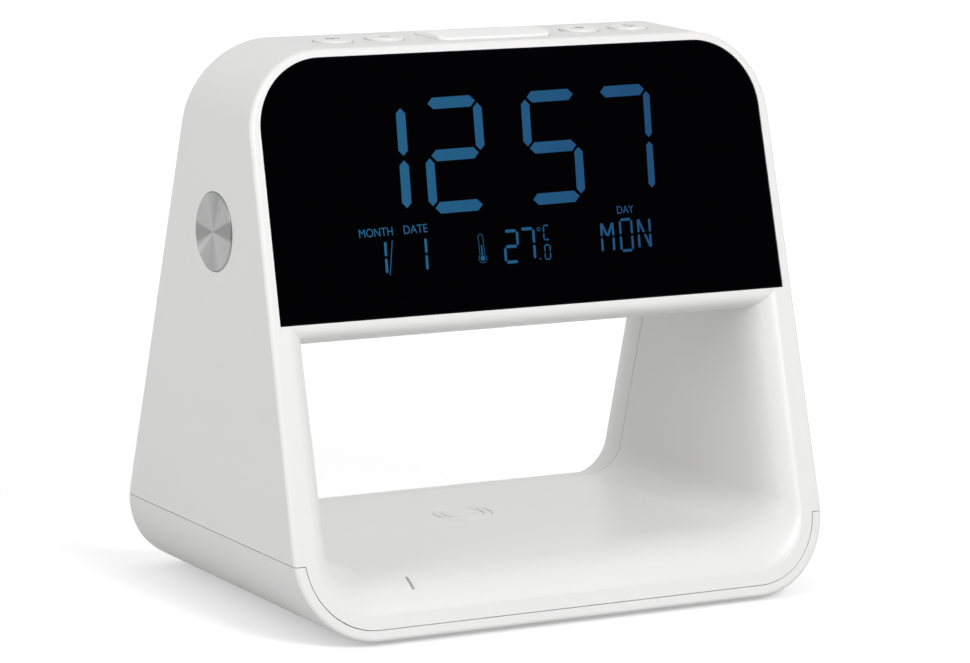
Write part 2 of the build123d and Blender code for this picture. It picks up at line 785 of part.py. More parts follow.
main_plug_u = lcd_width / 2 - plug_length
main_plug_v = display_v - main_board_height / 2 + plug_width
with BuildPart() as main_chips:
    with BuildSketch(front_face.offset(-board_back - chip_height)):
        with Locations((0, display_v)):
            Rectangle(main_chip_size, main_chip_size)
        with Locations((-2 * main_chip_size, display_v), (2 * main_chip_size, display_v)):
            Rectangle(driver_chip_size, driver_chip_size)
    extrude(amount=chip_height)
save(main_chips.part, "main_board_chips")

with BuildPart() as main_plug:
    with BuildSketch(front_face.offset(-board_back - plug_height)):
        with Locations((main_plug_u, main_plug_v)):
            Rectangle(plug_length, plug_width)
    extrude(amount=plug_height)
save(main_plug.part, "main_board_plug")

display_screw_length = bezel_back + board_thickness - ear_front + screw_grip / 2
display_screw_planes = [
    Plane(front_face.from_local_coords(Vector(x, y, -board_back)), z_dir=-front_face.z_dir)
    for x, y in ear_places
]
save(screws_at(display_screw_planes, display_screw_length), "display_screws")

# Temperature sensor hanging below the main board on its two leads
sensor_u = -lcd_width / 4
board_low_v = display_v - main_board_height / 2
sensor_depth = bezel_back + stack_gap + sensor_r
with BuildPart() as temperature_sensor:
    with BuildSketch(front_face.offset(-sensor_depth - sensor_r)):
        with Locations((sensor_u, board_low_v - sensor_length)):
            Circle(sensor_r)
    extrude(amount=2 * sensor_r)
    for side in (-lead_spread / 2, lead_spread / 2):
        lead_foot = Vector(sensor_u + side, board_low_v - sensor_length, -sensor_depth)
        foot = front_face.from_local_coords(lead_foot)
        with BuildSketch(Plane(foot, z_dir=tuple(front_face.y_dir))):
            Circle(lead_r)
        extrude(amount=sensor_length)
save(temperature_sensor.part, "temperature_sensor")

# Key board under the top wall, with a click switch below each key
with BuildPart() as key_board:
    with BuildSketch(Plane.XY.offset(key_board_bottom)):
        with Locations((0, (key_board_rear - key_board_front) / 2)):
            Rectangle(2 * (key_post_x + key_board_end), key_board_front + key_board_rear)
        with Locations(*key_posts):
            Circle(pass_r, mode=Mode.SUBTRACT)
    extrude(amount=board_thickness)
save(key_board.part, "key_board")

key_screw_planes = [Plane((x, y, key_board_bottom), z_dir=(0, 0, -1)) for x, y in key_posts]
save(screws_at(key_screw_planes, board_thickness + screw_grip), "key_board_screws")

switch_pit = plunger_length - switch_drop + key_travel + plunger_room
with BuildPart() as key_switches:
    with BuildSketch(Plane.XY.offset(key_board_top)):
        with Locations((0, 0), *[(x, 0) for x in key_places]):
            Rectangle(switch_size, switch_size)
    extrude(amount=switch_height)
    with BuildSketch(Plane.XY.offset(switch_top)):
        with Locations((0, 0), *[(x, 0) for x in key_places]):
            Circle(plunger_r + plunger_gap)
    extrude(amount=-switch_pit, mode=Mode.SUBTRACT)
save(key_switches.part, "key_switches")

# Four round keys, each with the plunger of its switch
for name, x in zip(key_names, key_places):
    with BuildPart() as key:
        with BuildSketch(Plane.XY.offset(flange_bottom)):
            with Locations((x, 0)):
                Circle(key_r + key_flange)
        extrude(amount=key_flange_thickness)
        with BuildSketch(Plane.XY.offset(flange_top)):
            with Locations((x, 0)):
                Circle(key_r)
        extrude(amount=top_z + key_rise - flange_top)
        crown_edge = key.edges().group_by(Axis.Z)[-1]
        fillet(crown_edge, key_edge_r)
    save(key.part, name)
    plunger = posts(Plane.XY, [(x, 0)], plunger_r, flange_bottom - plunger_length, flange_bottom)
    save(plunger, f"{name}_plunger")

# Snooze bar, crowned across its depth and hollow below
bar_edge_z = top_z + bar_rise
bar_top_z = bar_edge_z + bar_crown
with BuildPart() as snooze_bar:
    with BuildSketch(Plane.XY.offset(flange_bottom)):
        RectangleRounded(bar_length, bar_depth, bar_corner_r)
    extrude(amount=bar_top_z - flange_bottom)
    with BuildSketch(Plane.YZ.offset(-bar_length)):
        with BuildLine():
            ThreePointArc(
                (-bar_depth / 2, bar_edge_z),
                (0, bar_top_z),
                (bar_depth / 2, bar_edge_z),
            )
            Polyline(
                (bar_depth / 2, bar_edge_z),
                (bar_depth / 2, flange_bottom),
                (-bar_depth / 2, flange_bottom),
                (-bar_depth / 2, bar_edge_z),
            )
        make_face()
    extrude(amount=2 * bar_length, mode=Mode.INTERSECT)
    rim_edges = snooze_bar.edges().filter_by(lambda e: e.center().Z > top_z + bar_rise / 2)
    fillet(rim_edges, key_edge_r)
    with BuildSketch(Plane.XY.offset(flange_bottom)):
        RectangleRounded(bar_length + 2 * key_flange, bar_depth, bar_corner_r)
    extrude(amount=key_flange_thickness)
    with BuildSketch(Plane.XY.offset(flange_bottom)):
        RectangleRounded(bar_length - 2 * bar_wall, bar_depth - 2 * bar_wall, bar_corner_r - bar_wall)
        Circle(plunger_r + bar_wall, mode=Mode.SUBTRACT)
    extrude(amount=bar_edge_z - bar_wall - flange_bottom, mode=Mode.SUBTRACT)
save(snooze_bar.part, "snooze_bar")
plunger = posts(Plane.XY, [(0, 0)], plunger_r, flange_bottom - plunger_length, flange_bottom)
save(plunger, "snooze_bar_plunger")

# Ribbon from the key board down to the main board's top edge
board_high_v = display_v + main_board_height / 2
board_top_corner = front_face.from_local_coords(Vector(0, board_high_v, -board_back))
with BuildPart() as key_ribbon:
    with BuildSketch(Plane.XY.offset(board_top_corner.Z - ribbon_width / 4)):
        with Locations((0, board_top_corner.Y + stack_gap + ribbon_thickness / 2)):
            Rectangle(ribbon_width, ribbon_thickness)
    extrude(amount=key_board_bottom - board_top_corner.Z + ribbon_width / 4)
save(key_ribbon.part, "key_ribbon")

# Disc button in the left flank: metal disc, carrier, plunger, switch and its board
with BuildPart() as side_disc:
    add(posts(disc_face, [(0, 0)], disc_r, carrier_seat, disc_rise))
    outer_side = side_disc.faces().sort_by(Axis((0, 0, 0), tuple(disc_face.z_dir)))[-1]
    disc_rim = outer_side.edges()
    chamfer(disc_rim, disc_bevel)
save(side_disc.part, "side_disc")

with BuildPart() as disc_carrier:
    add(posts(disc_face, [(0, 0)], disc_r - carrier_inset, carrier_flange_top, carrier_seat))
    add(posts(disc_face, [(0, 0)], disc_r + carrier_flange, carrier_back, carrier_flange_top))
save(disc_carrier.part, "disc_carrier")
save(posts(disc_face, [(0, 0)], plunger_r, carrier_back - plunger_length, carrier_back), "disc_plunger")

with BuildPart() as disc_switch:
    with BuildSketch(disc_face.offset(disc_board_top)):
        Rectangle(switch_size, switch_size)
    extrude(amount=switch_height)
    add(posts(disc_face, [(0, 0)], plunger_r + plunger_gap, disc_switch_top - switch_pit, disc_switch_top),
        mode=Mode.SUBTRACT)
save(disc_switch.part, "disc_switch")

disc_board_bottom = disc_board_top - board_thickness
with BuildPart() as disc_board:
    with BuildSketch(disc_face.offset(disc_board_bottom)):
        with Locations((-disc_board_shift, 0)):
            Rectangle(disc_board_depth, disc_board_height)
        with Locations(*disc_posts):
            Circle(pass_r, mode=Mode.SUBTRACT)
    extrude(amount=board_thickness)
save(disc_board.part, "disc_board")
disc_screw_planes = [
    Plane(disc_face.from_local_coords(Vector(x, y, disc_board_bottom)), z_dir=-disc_face.z_dir)
    for x, y in disc_posts
]
save(screws_at(disc_screw_planes, board_thickness + screw_grip / 2), "disc_board_screws")

# Charging socket and its board, on the rear cover's rails
with BuildPart() as usb_shell:
    with BuildSketch(rear_face.offset(-usb_setback)):
        with Locations((0, usb_v)):
            SlotOverall(usb_width, usb_height)
    extrude(amount=-usb_depth)
    with BuildSketch(rear_face.offset(-usb_setback)):
        with Locations((0, usb_v)):
            SlotOverall(usb_width - 2 * usb_wall, usb_height - 2 * usb_wall)
    extrude(amount=usb_wall - usb_depth, mode=Mode.SUBTRACT)
save(usb_shell.part, "usb_shell")

with BuildPart() as usb_tongue:
    with BuildSketch(rear_face.offset(usb_wall - usb_setback - usb_depth)):
        with Locations((0, usb_v)):
            Rectangle(usb_width - usb_height, usb_tongue_thickness)
    extrude(amount=usb_depth - 4 * usb_wall)
save(usb_tongue.part, "usb_tongue")

with BuildPart() as usb_board:
    with BuildSketch(rear_face.offset(-cover_thickness - stack_gap)):
        with Locations((0, usb_board_top - usb_board_thickness / 2)):
            Rectangle(usb_board_width, usb_board_thickness)
    extrude(amount=-usb_board_depth)
save(usb_board.part, "usb_board")

# Speaker behind the grille: basket, paper cone and magnet
basket_front = -cover_thickness
basket_back = basket_front - speaker_basket_depth
basket_r = speaker_r * speaker_basket_r_share
throat_r = basket_r - 2 * speaker_sheet
rim_inner_r = speaker_r - 2 * speaker_rim_thickness
speaker_axis = Plane(
    rear_face.from_local_coords(Vector(-speaker_x, speaker_v, 0)),
    x_dir=tuple(rear_face.x_dir),
    z_dir=tuple(-rear_face.y_dir),
)


def speaker_turning(points):
    """Turn a closed outline of radius and depth points about the speaker's axis."""
    with BuildPart() as turned:
        with BuildSketch(speaker_axis):
            with BuildLine():
                Polyline(*points, close=True)
            make_face()
        revolve(axis=Axis(speaker_axis.origin, rear_face.z_dir))
    return turned.part


save(
    speaker_turning(
        [
            (speaker_r, basket_front),
            (speaker_r, basket_front - speaker_rim_thickness),
            (basket_r, basket_back),
            (0, basket_back),
            (0, basket_back + speaker_sheet),
            (basket_r - speaker_sheet, basket_back + speaker_sheet),
            (rim_inner_r, basket_front - speaker_rim_thickness),
            (rim_inner_r, basket_front),
        ]
    ),
    "speaker_basket",
)
cone_front = basket_front - speaker_seat
cone_back = basket_back + speaker_seat + speaker_sheet
save(
    speaker_turning(
        [
            (rim_inner_r - stack_gap, cone_front),
            (rim_inner_r - stack_gap, cone_front - speaker_sheet),
            (throat_r / 2, cone_back),
            (0, cone_back),
            (0, cone_back + speaker_sheet),
            (throat_r / 2, cone_back + speaker_sheet),
            (rim_inner_r - 2 * speaker_sheet, cone_front),
        ]
    ),
    "speaker_cone",
)
save(
    posts(
        rear_face,
        [(-speaker_x, speaker_v)],
        speaker_r * speaker_magnet_r_share,
        basket_back - speaker_magnet_height,
        basket_back,
    ),
    "speaker_magnet",
)

# Backup cell in its cup behind the rear cover, and the door over it
cup_r = cell_r + cell_gap + cell_cup_wall
cell_top = -cover_thickness - stack_gap
cell_bottom = cell_top - cell_thickness
cup_floor = cell_bottom - cell_gap
cup_bottom = cup_floor - cell_cup_floor
cell_place = (-cell_x, cell_v)
with BuildPart() as cell_cup:
    add(posts(rear_face, [cell_place], cup_r, cup_bottom, -cover_thickness))
    add(posts(rear_face, [cell_place], cell_r + cell_gap, cup_floor, -cover_thickness), mode=Mode.SUBTRACT)
save(cell_cup.part, "cell_cup")
save(posts(rear_face, [cell_place], cell_r, cell_bottom, cell_top), "coin_cell")
with BuildPart() as cell_contact:
    with BuildSketch(rear_face.offset(cup_floor)):
        with Locations(cell_place):
            Rectangle(cell_r, cell_r / 2)
    extrude(amount=cell_gap)
save(cell_contact.part, "cell_contact")

with BuildPart() as battery_door:
    with BuildSketch(rear_face.offset(-door_thickness)):
        with Locations(door_centre):
            RectangleRounded(door_length, door_width, door_corner_r)
        with Locations(door_screw_place):
            Circle(pass_r, mode=Mode.SUBTRACT)
    extrude(amount=door_thickness)
    add(posts(rear_face, [door_screw_place], head_pocket_r, -door_screw_head, 0), mode=Mode.SUBTRACT)
save(battery_door.part, "battery_door")
door_screw_seat = rear_face.from_local_coords(Vector(*door_screw_place, -door_screw_head))
door_screw_planes = [Plane(door_screw_seat, z_dir=rear_face.z_dir)]
door_screw_length = cover_boss_length - 2 * door_screw_head
save(screws_at(door_screw_planes, door_screw_length, door_screw_head), "battery_door_screw")

# Charging coil on its ferrite sheet and tray, under the deck
with BuildPart() as charging_coil:
    with BuildSketch(Plane.XY.offset(coil_top_z - coil_thickness)):
        with Locations((0, coil_y)):
            Circle(coil_r)
            Circle(coil_bore_r, mode=Mode.SUBTRACT)
    extrude(amount=coil_thickness)
save(charging_coil.part, "charging_coil")
save(
    posts(Plane.XY, [(0, coil_y)], ferrite_r, ferrite_top_z - ferrite_thickness, ferrite_top_z),
    "ferrite_sheet",
)
coil_tray_bottom = coil_tray_top_z - coil_tray_thickness
with BuildPart() as coil_tray:
    with BuildSketch(Plane.XY.offset(coil_tray_bottom)):
        with Locations((0, coil_y)):
            Rectangle(coil_tray_size, coil_tray_size)
        with Locations(*coil_posts):
            Circle(pass_r, mode=Mode.SUBTRACT)
    extrude(amount=coil_tray_thickness)
save(coil_tray.part, "coil_tray")
coil_screw_length = deck_under_z - coil_tray_bottom - stack_gap
coil_screw_planes = [Plane((x, y, coil_tray_bottom), z_dir=(0, 0, -1)) for x, y in coil_posts]
save(screws_at(coil_screw_planes, coil_screw_length, door_screw_head), "coil_tray_screws")

# Charger board on the bottom cover's bosses, with its chips, inductor, lamp and plug
with BuildPart() as charger_board:
    with BuildSketch(Plane.XY.offset(charger_board_z)):
        with Locations((0, charger_board_y)):
            Rectangle(charger_board_length, charger_board_depth)
        with Locations(*charger_posts):
            Circle(pass_r, mode=Mode.SUBTRACT)
    extrude(amount=charger_board_thickness)
save(charger_board.part, "charger_board")
charger_screw_planes = [Plane((x, y, charger_board_top)) for x, y in charger_posts]
charger_screw_length = charger_board_thickness + charger_board_stand
save(screws_at(charger_screw_planes, charger_screw_length), "charger_board_screws")

charger_plug_x = charger_board_length / 2 - charger_post_inset - plug_length
with BuildPart() as charger_chips:
    with BuildSketch(Plane.XY.offset(charger_board_top)):
        with Locations((0, charger_board_y), (2 * charger_chip_size, charger_board_y)):
            Rectangle(charger_chip_size, charger_chip_size)
    extrude(amount=chip_height)
    with BuildSketch(Plane.XY.offset(charger_board_top)):
        with Locations((-2 * inductor_size, charger_board_y)):
            Rectangle(inductor_size, inductor_size)
    extrude(amount=inductor_height)
save(charger_chips.part, "charger_board_chips")

with BuildPart() as charger_plug:
    with BuildSketch(Plane.XY.offset(charger_board_top)):
        with Locations((charger_plug_x, charger_board_y)):
            Rectangle(plug_length, plug_width)
    extrude(amount=plug_height)
save(charger_plug.part, "charger_board_plug")

# Charge lamp, and the pipe that carries its light up into the front lip
pipe_y = pipe_front_y + pipe_length / 2
led_y = charger_board_y - charger_board_depth / 2 + led_size
with BuildPart() as charge_lamp:
    with BuildSketch(Plane.XY.offset(charger_board_top)):
        with Locations((pipe_x, led_y)):
            Rectangle(led_size, led_size)
    extrude(amount=led_height)
save(charge_lamp.part, "charge_lamp")

leg_end = led_y + led_size / 2
with BuildPart() as light_pipe:
    with BuildSketch(Plane.XY.offset(led_top_z)):
        with Locations((pipe_x, pipe_y)):
            Rectangle(pipe_thickness, pipe_length)
    extrude(amount=deck_z - led_top_z)
    add(tunnel_space, mode=Mode.SUBTRACT)
    with BuildSketch(Plane.XY.offset(led_top_z)):
        with Locations((pipe_x, (pipe_y + leg_end) / 2)):
            Rectangle(pipe_thickness, leg_end - pipe_y)
    extrude(amount=pipe_leg_height)
save(light_pipe.part, "light_pipe")

# Lead from the charger board up the right leg and over the tunnel to the main board
plug_depth = board_back + plug_height
plug_back = front_face.from_local_coords(Vector(main_plug_u, main_plug_v, -plug_depth))
plug_turn = front_face.from_local_coords(Vector(main_plug_u, main_plug_v, -plug_depth - wire_reach))
leg_x = (tunnel_width / 2 + tube_wall + half_width - skin) / 2 - side_slope * ceiling_height / 2
wire_z = charger_board_top + plug_height / 2
wire_top_z = ceiling_z + tube_wall + wire_r + wire_clear
wire_start = (charger_plug_x + plug_length / 2, charger_board_y, wire_z)
leg_middle = (leg_x, charger_board_y, (wire_z + wire_top_z) / 2)
with BuildPart() as leg_wire:
    with BuildLine() as route:
        FilletPolyline(wire_start, (leg_x, charger_board_y, wire_z), leg_middle, radius=wire_corner_r)
        FilletPolyline(
            leg_middle,
            (leg_x, charger_board_y, wire_top_z),
            (plug_turn.X, charger_board_y, wire_top_z),
            plug_turn,
            plug_back,
            radius=wire_bend_r,
        )
    with BuildSketch(Plane(wire_start, z_dir=(1, 0, 0))):
        Circle(wire_r)
    sweep(path=route.line)
save(leg_wire.part, "leg_wire")
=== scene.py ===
"""Looks for a bedside alarm clock with a display head over a charging tunnel.

Lengths typed here are millimetres unless a name says otherwise, and MM turns them into metres.
The front faces -Y, +X is to the right seen from the front, and the feet stand on z = 0.
"""

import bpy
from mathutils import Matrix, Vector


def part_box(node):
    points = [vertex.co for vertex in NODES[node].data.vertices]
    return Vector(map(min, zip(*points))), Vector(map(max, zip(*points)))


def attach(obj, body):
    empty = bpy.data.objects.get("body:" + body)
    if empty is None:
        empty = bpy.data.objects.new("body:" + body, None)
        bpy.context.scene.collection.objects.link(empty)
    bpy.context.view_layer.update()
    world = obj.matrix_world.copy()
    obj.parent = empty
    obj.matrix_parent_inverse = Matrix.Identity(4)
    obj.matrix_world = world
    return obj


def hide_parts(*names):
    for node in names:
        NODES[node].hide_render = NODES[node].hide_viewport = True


bl_info = {
    "name": "Bedside Alarm Clock",
    "version": (1, 0, 0),
    "blender": (4, 5, 0),
    "location": "View3D > Sidebar > Alarm Clock",
    "description": "Dresses a charging alarm clock: shell, lens, lit display, keys, disc and boards",
    "category": "Object",
}

from math import atan2, cos, pi, radians, sin, sqrt

import bpy
import numpy as np
from bpy.props import FloatProperty, FloatVectorProperty, PointerProperty
from bpy.types import Operator, Panel, PropertyGroup
from mathutils import Matrix, Vector

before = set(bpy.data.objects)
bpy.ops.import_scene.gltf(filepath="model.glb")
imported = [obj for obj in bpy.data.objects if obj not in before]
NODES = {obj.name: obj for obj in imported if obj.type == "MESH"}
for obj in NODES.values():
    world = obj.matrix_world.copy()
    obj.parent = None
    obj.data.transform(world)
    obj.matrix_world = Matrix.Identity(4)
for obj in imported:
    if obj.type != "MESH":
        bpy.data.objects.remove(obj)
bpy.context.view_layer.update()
MM = 0.001

# The leaning front face, which carries the lens
FRONT_LEAN = radians(15.8)
FACE_FOOT_Y = -51.5        # the face meets the underside here
FOOT_STAND = 1.0           # underside above the table

# Crown of the snooze bar, and the keys' tops
TOP_Z = 138.4
BAR_EDGE_RISE = 0.55
BAR_CROWN = 0.85
KEY_RISE = 0.7
KEYS = ("set_key", "minus_key", "plus_key", "alarm_key")

# Marks on the keys and the bar
SIGN_HALF = 1.5            # half the length of the minus and the plus
SIGN_HALF_STROKE = 0.24
KEY_WORDS = (("set_key", "SET", 4.4), ("snooze_bar", "SNOOZE", 13.0))
BELL_SIZE = 1.05
BELL_INSIDE = 0.82         # the inner outline, as a share of the outer one
CLAPPER_DROP = 1.75
CLAPPER_R = 0.32

BASE_SHADE = 0.985         # the bottom cover's white, as a share of the shell's

# Painted highlights and shade round the spun disc, multiplied into its colour: shares of a turn from the
# rear, and their tones
PAINTED_SPUN_SHEEN = ((0.0, 0.64), (0.012, 0.66), (0.035, 1.0), (0.15, 1.02), (0.24, 0.96), (0.283, 0.80),
            (0.32, 0.96), (0.37, 1.04), (0.425, 0.96), (0.445, 0.62), (0.505, 0.64), (0.53, 1.06),
            (0.64, 1.10), (0.75, 0.94), (0.86, 1.0), (0.90, 1.26), (0.925, 0.94), (0.946, 0.64), (1.0, 0.64))

# A mark's underside and top, as heights over what it is printed on
MARK_LEVELS = (-0.02, 0.03)


def colour_property(name, description, default):
    """A colour setting."""
    return FloatVectorProperty(name=name, description=description, subtype="COLOR", size=3, min=0.0, max=1.0,
                               default=default)


def angle_property(name, description, degrees):
    """An angle setting, its default given in degrees."""
    return FloatProperty(name=name, description=description, subtype="ANGLE", unit="ROTATION",
                         default=radians(degrees))


def number_property(name, description, default, low, high):
    """A plain number between two limits."""
    return FloatProperty(name=name, description=description, default=default, min=low, max=high)


class ShellLook(PropertyGroup):
    """Finish of the moulded shell, the keys and the snooze bar."""

    white: colour_property("White", "Colour of the shell and the keys", (0.845, 0.842, 0.838))
    bar_white: colour_property("Bar White", "Colour of the snooze bar", (0.96, 0.958, 0.955))
    grain_size: FloatProperty(
        name="Grain Size", description="Size of the moulding's fine grain", subtype="DISTANCE",
        unit="LENGTH", min=0.0001, max=0.005, default=0.0006)
    print_grey: colour_property("Print", "Colour of the marks on the keys and the bar", (0.10, 0.10, 0.105))


class DisplayLook(PropertyGroup):
    """Colours and sizes of the lit display."""

    lit_left: colour_property("Lit Left", "Colour of the lit marks at the left end", (0.014, 0.112, 0.226))
    lit_right: colour_property("Lit Right", "Colour of the lit marks at the right end", (0.012, 0.064, 0.168))
    lens_black: colour_property("Lens", "Colour of the smoked lens", (0.0006, 0.0006, 0.0010))
    row_turn: FloatProperty(
        name="Row Turn", description="Turn of the display's rows on the lens", subtype="ANGLE",
        unit="ROTATION", min=-0.1, max=0.1, default=0.0148)
    slant: number_property("Slant", "Lean of the small digits and letters, as a share of their height",
                           0.054, 0.0, 0.3)


class StageLook(PropertyGroup):
    """The camera, the lamps and the floor."""

    azimuth: angle_property("Azimuth", "Camera turn round the clock", 29.986)
    elevation: angle_property("Elevation", "Camera height angle", 10.259)
    roll: angle_property("Roll", "Camera roll", 1.1448)
    distance: FloatProperty(
        name="Distance", description="Camera to its aim", subtype="DISTANCE", unit="LENGTH",
        default=1.10557)
    aim: FloatVectorProperty(
        name="Aim", description="Point the camera looks at", subtype="XYZ", size=3,
        default=(-0.0100788, -0.0215, 0.0680038))
    lens: number_property("Lens", "Focal length in millimetres on a 36 mm sensor", 167.3, 10.0, 500.0)
    sky: number_property("Sky", "Strength of the even light all round", 0.36, 0.0, 4.0)
    key_watts: number_property("Key Lamp", "Power of the large lamp in front", 10.0, 0.0, 500.0)
    side_watts: number_property("Side Lamp", "Power of the lamp at the left", 3.5, 0.0, 500.0)
    back_watts: number_property("Back Lamp", "Power of the weak lamp behind", 1.4, 0.0, 500.0)
    floor_white: number_property("Floor White", "Brightness of the unshaded floor", 1.16, 0.5, 1.5)


# Node helpers

def feed(tree, value, socket):
    """Links a socket to an input, or sets the input to a number, a vector or a colour."""
    if hasattr(value, "is_output"):
        tree.links.new(value, socket)
    elif socket.type == "RGBA":
        socket.default_value = (*value[:3], 1.0)
    else:
        socket.default_value = value


def fill(tree, node, **sockets):
    """Feeds a node's inputs by name, with underscores for spaces."""
    for key, value in sockets.items():
        feed(tree, value, node.inputs[key.replace("_", " ")])


def add_node(tree, kind, **settings):
    """A node of that kind with its settings; a key such as in_Scale feeds the input of that name."""
    node = tree.nodes.new(kind)
    for key, value in settings.items():
        if key.startswith("in_"):
            fill(tree, node, **{key[3:]: value})
        else:
            setattr(node, key, value)
    return node


def new_group(name, inputs, outputs):
    """An empty shader node group with named sockets: (group, what it is given, its output node)."""
    group = bpy.data.node_groups.new(name, "ShaderNodeTree")
    for label, kind, value in inputs:
        socket = group.interface.new_socket(name=label, in_out="INPUT", socket_type=kind)
        if value is not None:
            socket.default_value = value
    for label, kind in outputs:
        group.interface.new_socket(name=label, in_out="OUTPUT", socket_type=kind)
    return group, group.nodes.new("NodeGroupInput").outputs, group.nodes.new("NodeGroupOutput")


def math(tree, operation, a, b=0.5, clamp=False):
    """A Math node; a and b are sockets or numbers."""
    node = add_node(tree, "ShaderNodeMath", operation=operation, use_clamp=clamp)
    feed(tree, a, node.inputs[0])
    feed(tree, b, node.inputs[1])
    return node.outputs[0]


def mix_colour(tree, factor, a, b, blend="MIX"):
    """A Mix node for colours; each argument is a socket or a value.

    Inputs 6 and 7 and output 2 are the node's colour sockets.
    """
    node = add_node(tree, "ShaderNodeMix", data_type="RGBA", blend_type=blend)
    for slot, value in ((0, factor), (6, a), (7, b)):
        feed(tree, value, node.inputs[slot])
    return node.outputs[2]


def scaled(tree, vector, factor):
    """A vector or a colour times a number."""
    node = add_node(tree, "ShaderNodeVectorMath", operation="SCALE", in_Vector=vector, in_Scale=factor)
    return node.outputs[0]


def split(tree, vector):
    """A vector's outputs X, Y and Z."""
    return add_node(tree, "ShaderNodeSeparateXYZ", in_Vector=vector).outputs


def noise(tree, position, scale, detail=3.0, roughness=0.5):
    """A Noise Texture's value at a position; the scale is in waves a metre."""
    node = add_node(tree, "ShaderNodeTexNoise", in_Vector=position, in_Scale=scale, in_Detail=detail,
                    in_Roughness=roughness)
    return node.outputs["Fac"]


COLOUR = "NodeSocketColor"
NUMBER = "NodeSocketFloat"
VECTOR = "NodeSocketVector"


def moulded_skin_group():
    """Moulded plastic: faint clouding, fine spark-eroded grain and gloss that varies with it."""
    group, given, out = new_group(
        "Moulded Skin",
        [("Position", VECTOR, None), ("Colour", COLOUR, (0.8, 0.8, 0.8, 1.0)), ("Clouding", NUMBER, 0.02),
         ("Grain Size", NUMBER, 0.0006), ("Roughness", NUMBER, 0.4), ("Gloss Change", NUMBER, 0.06)],
        [("Colour", COLOUR), ("Roughness", NUMBER), ("Height", NUMBER)])
    position = given["Position"]
    cloud = noise(group, position, scale=28.0, detail=2.0)
    grains = math(group, "DIVIDE", 1.0, given["Grain Size"])
    grain = noise(group, position, grains, detail=2.0, roughness=0.6)
    flow = noise(group, position, scale=95.0, detail=4.0)
    change = math(group, "MULTIPLY", math(group, "SUBTRACT", cloud, 0.5), given["Clouding"])
    uneven = math(group, "MULTIPLY", math(group, "SUBTRACT", flow, 0.5), given["Gloss Change"])
    flow_share = 0.6
    fill(group, out, Colour=scaled(group, given["Colour"], math(group, "ADD", 1.0, change)),
         Roughness=math(group, "ADD", given["Roughness"], uneven, clamp=True),
         Height=math(group, "ADD", grain, math(group, "MULTIPLY", flow, flow_share)))
    return group


def handling_group():
    """Faint smears and settled dust that lift the roughness of a polished face in patches."""
    group, given, out = new_group(
        "Handling",
        [("Position", VECTOR, None), ("Roughness", NUMBER, 0.1), ("Smears", NUMBER, 0.1),
         ("Dust", NUMBER, 0.02), ("Colour", COLOUR, (0.0, 0.0, 0.0, 1.0))],
        [("Colour", COLOUR), ("Roughness", NUMBER)])
    position = given["Position"]
    wide = noise(group, position, scale=45.0, detail=5.0, roughness=0.62)
    patch_level, patch_edge = 0.55, 3.0
    over = math(group, "SUBTRACT", wide, patch_level, clamp=True)
    patches = math(group, "MULTIPLY", over, patch_edge, clamp=True)
    smears = math(group, "MULTIPLY", patches, given["Smears"])
    speck = add_node(group, "ShaderNodeTexVoronoi", in_Vector=position, in_Scale=900.0, feature="F1")
    speck_size, dust_grey = 0.05, (0.7, 0.7, 0.7)
    dots = math(group, "LESS_THAN", speck.outputs["Distance"], speck_size)
    thin = math(group, "MULTIPLY", dots, given["Dust"])
    fill(group, out, Colour=mix_colour(group, thin, given["Colour"], dust_grey),
         Roughness=math(group, "ADD", given["Roughness"], smears, clamp=True))
    return group


def stripes_group():
    """Even stripes across one direction: two colours and a mask, for strips, ribbons and contacts."""
    group, given, out = new_group(
        "Stripes",
        [("Along", NUMBER, 0.0), ("Pitch", NUMBER, 0.001), ("Share", NUMBER, 0.5),
         ("Ground", COLOUR, (0.1, 0.1, 0.1, 1.0)), ("Stripe", COLOUR, (0.7, 0.6, 0.3, 1.0))],
        [("Colour", COLOUR), ("Mask", NUMBER)])
    turns = math(group, "DIVIDE", given["Along"], given["Pitch"])
    mask = math(group, "LESS_THAN", math(group, "FRACT", turns), given["Share"])
    fill(group, out, Colour=mix_colour(group, mask, given["Ground"], given["Stripe"]), Mask=mask)
    return group


def ring_cut_group():
    """Concentric tool marks about a centre: a height and a tone that ripple with the radius."""
    group, given, out = new_group(
        "Ring Cut",
        [("Position", VECTOR, None), ("Pitch", NUMBER, 0.0002), ("Colour", COLOUR, (0.6, 0.6, 0.6, 1.0)),
         ("Tone", NUMBER, 0.1)],
        [("Colour", COLOUR), ("Height", NUMBER)])
    parts = split(group, given["Position"])
    radius = math(group, "SQRT", math(group, "ADD", math(group, "POWER", parts["Y"], 2.0),
                                      math(group, "POWER", parts["Z"], 2.0)))
    rings = math(group, "DIVIDE", radius, given["Pitch"])
    spread = add_node(group, "ShaderNodeCombineXYZ", in_X=rings)
    ripple = noise(group, spread.outputs[0], scale=1.0, roughness=0.7)
    change = math(group, "MULTIPLY", math(group, "SUBTRACT", ripple, 0.5), given["Tone"])
    fill(group, out, Colour=scaled(group, given["Colour"], math(group, "ADD", 1.0, change)),
         Height=ripple)
    return group


def shared_group(name):
    """The shared node group of that name, built on first use."""
    makers = {"Moulded Skin": moulded_skin_group, "Handling": handling_group,
              "Stripes": stripes_group, "Ring Cut": ring_cut_group}
    return bpy.data.node_groups.get(name) or makers[name]()


def place_group(tree, name, **values):
    """A shared group placed in a material with its own values: its outputs."""
    node = add_node(tree, "ShaderNodeGroup", node_tree=shared_group(name))
    fill(tree, node, **values)
    return node.outputs


def new_material(name, **sockets):
    """A material with a Principled BSDF: (material, tree, shader, Object coordinates)."""
    material = bpy.data.materials.new(name)
    material.use_nodes = True
    tree = material.node_tree
    shader = tree.nodes["Principled BSDF"]
    fill(tree, shader, **sockets)
    position = add_node(tree, "ShaderNodeTexCoord").outputs["Object"]
    return material, tree, shader, position


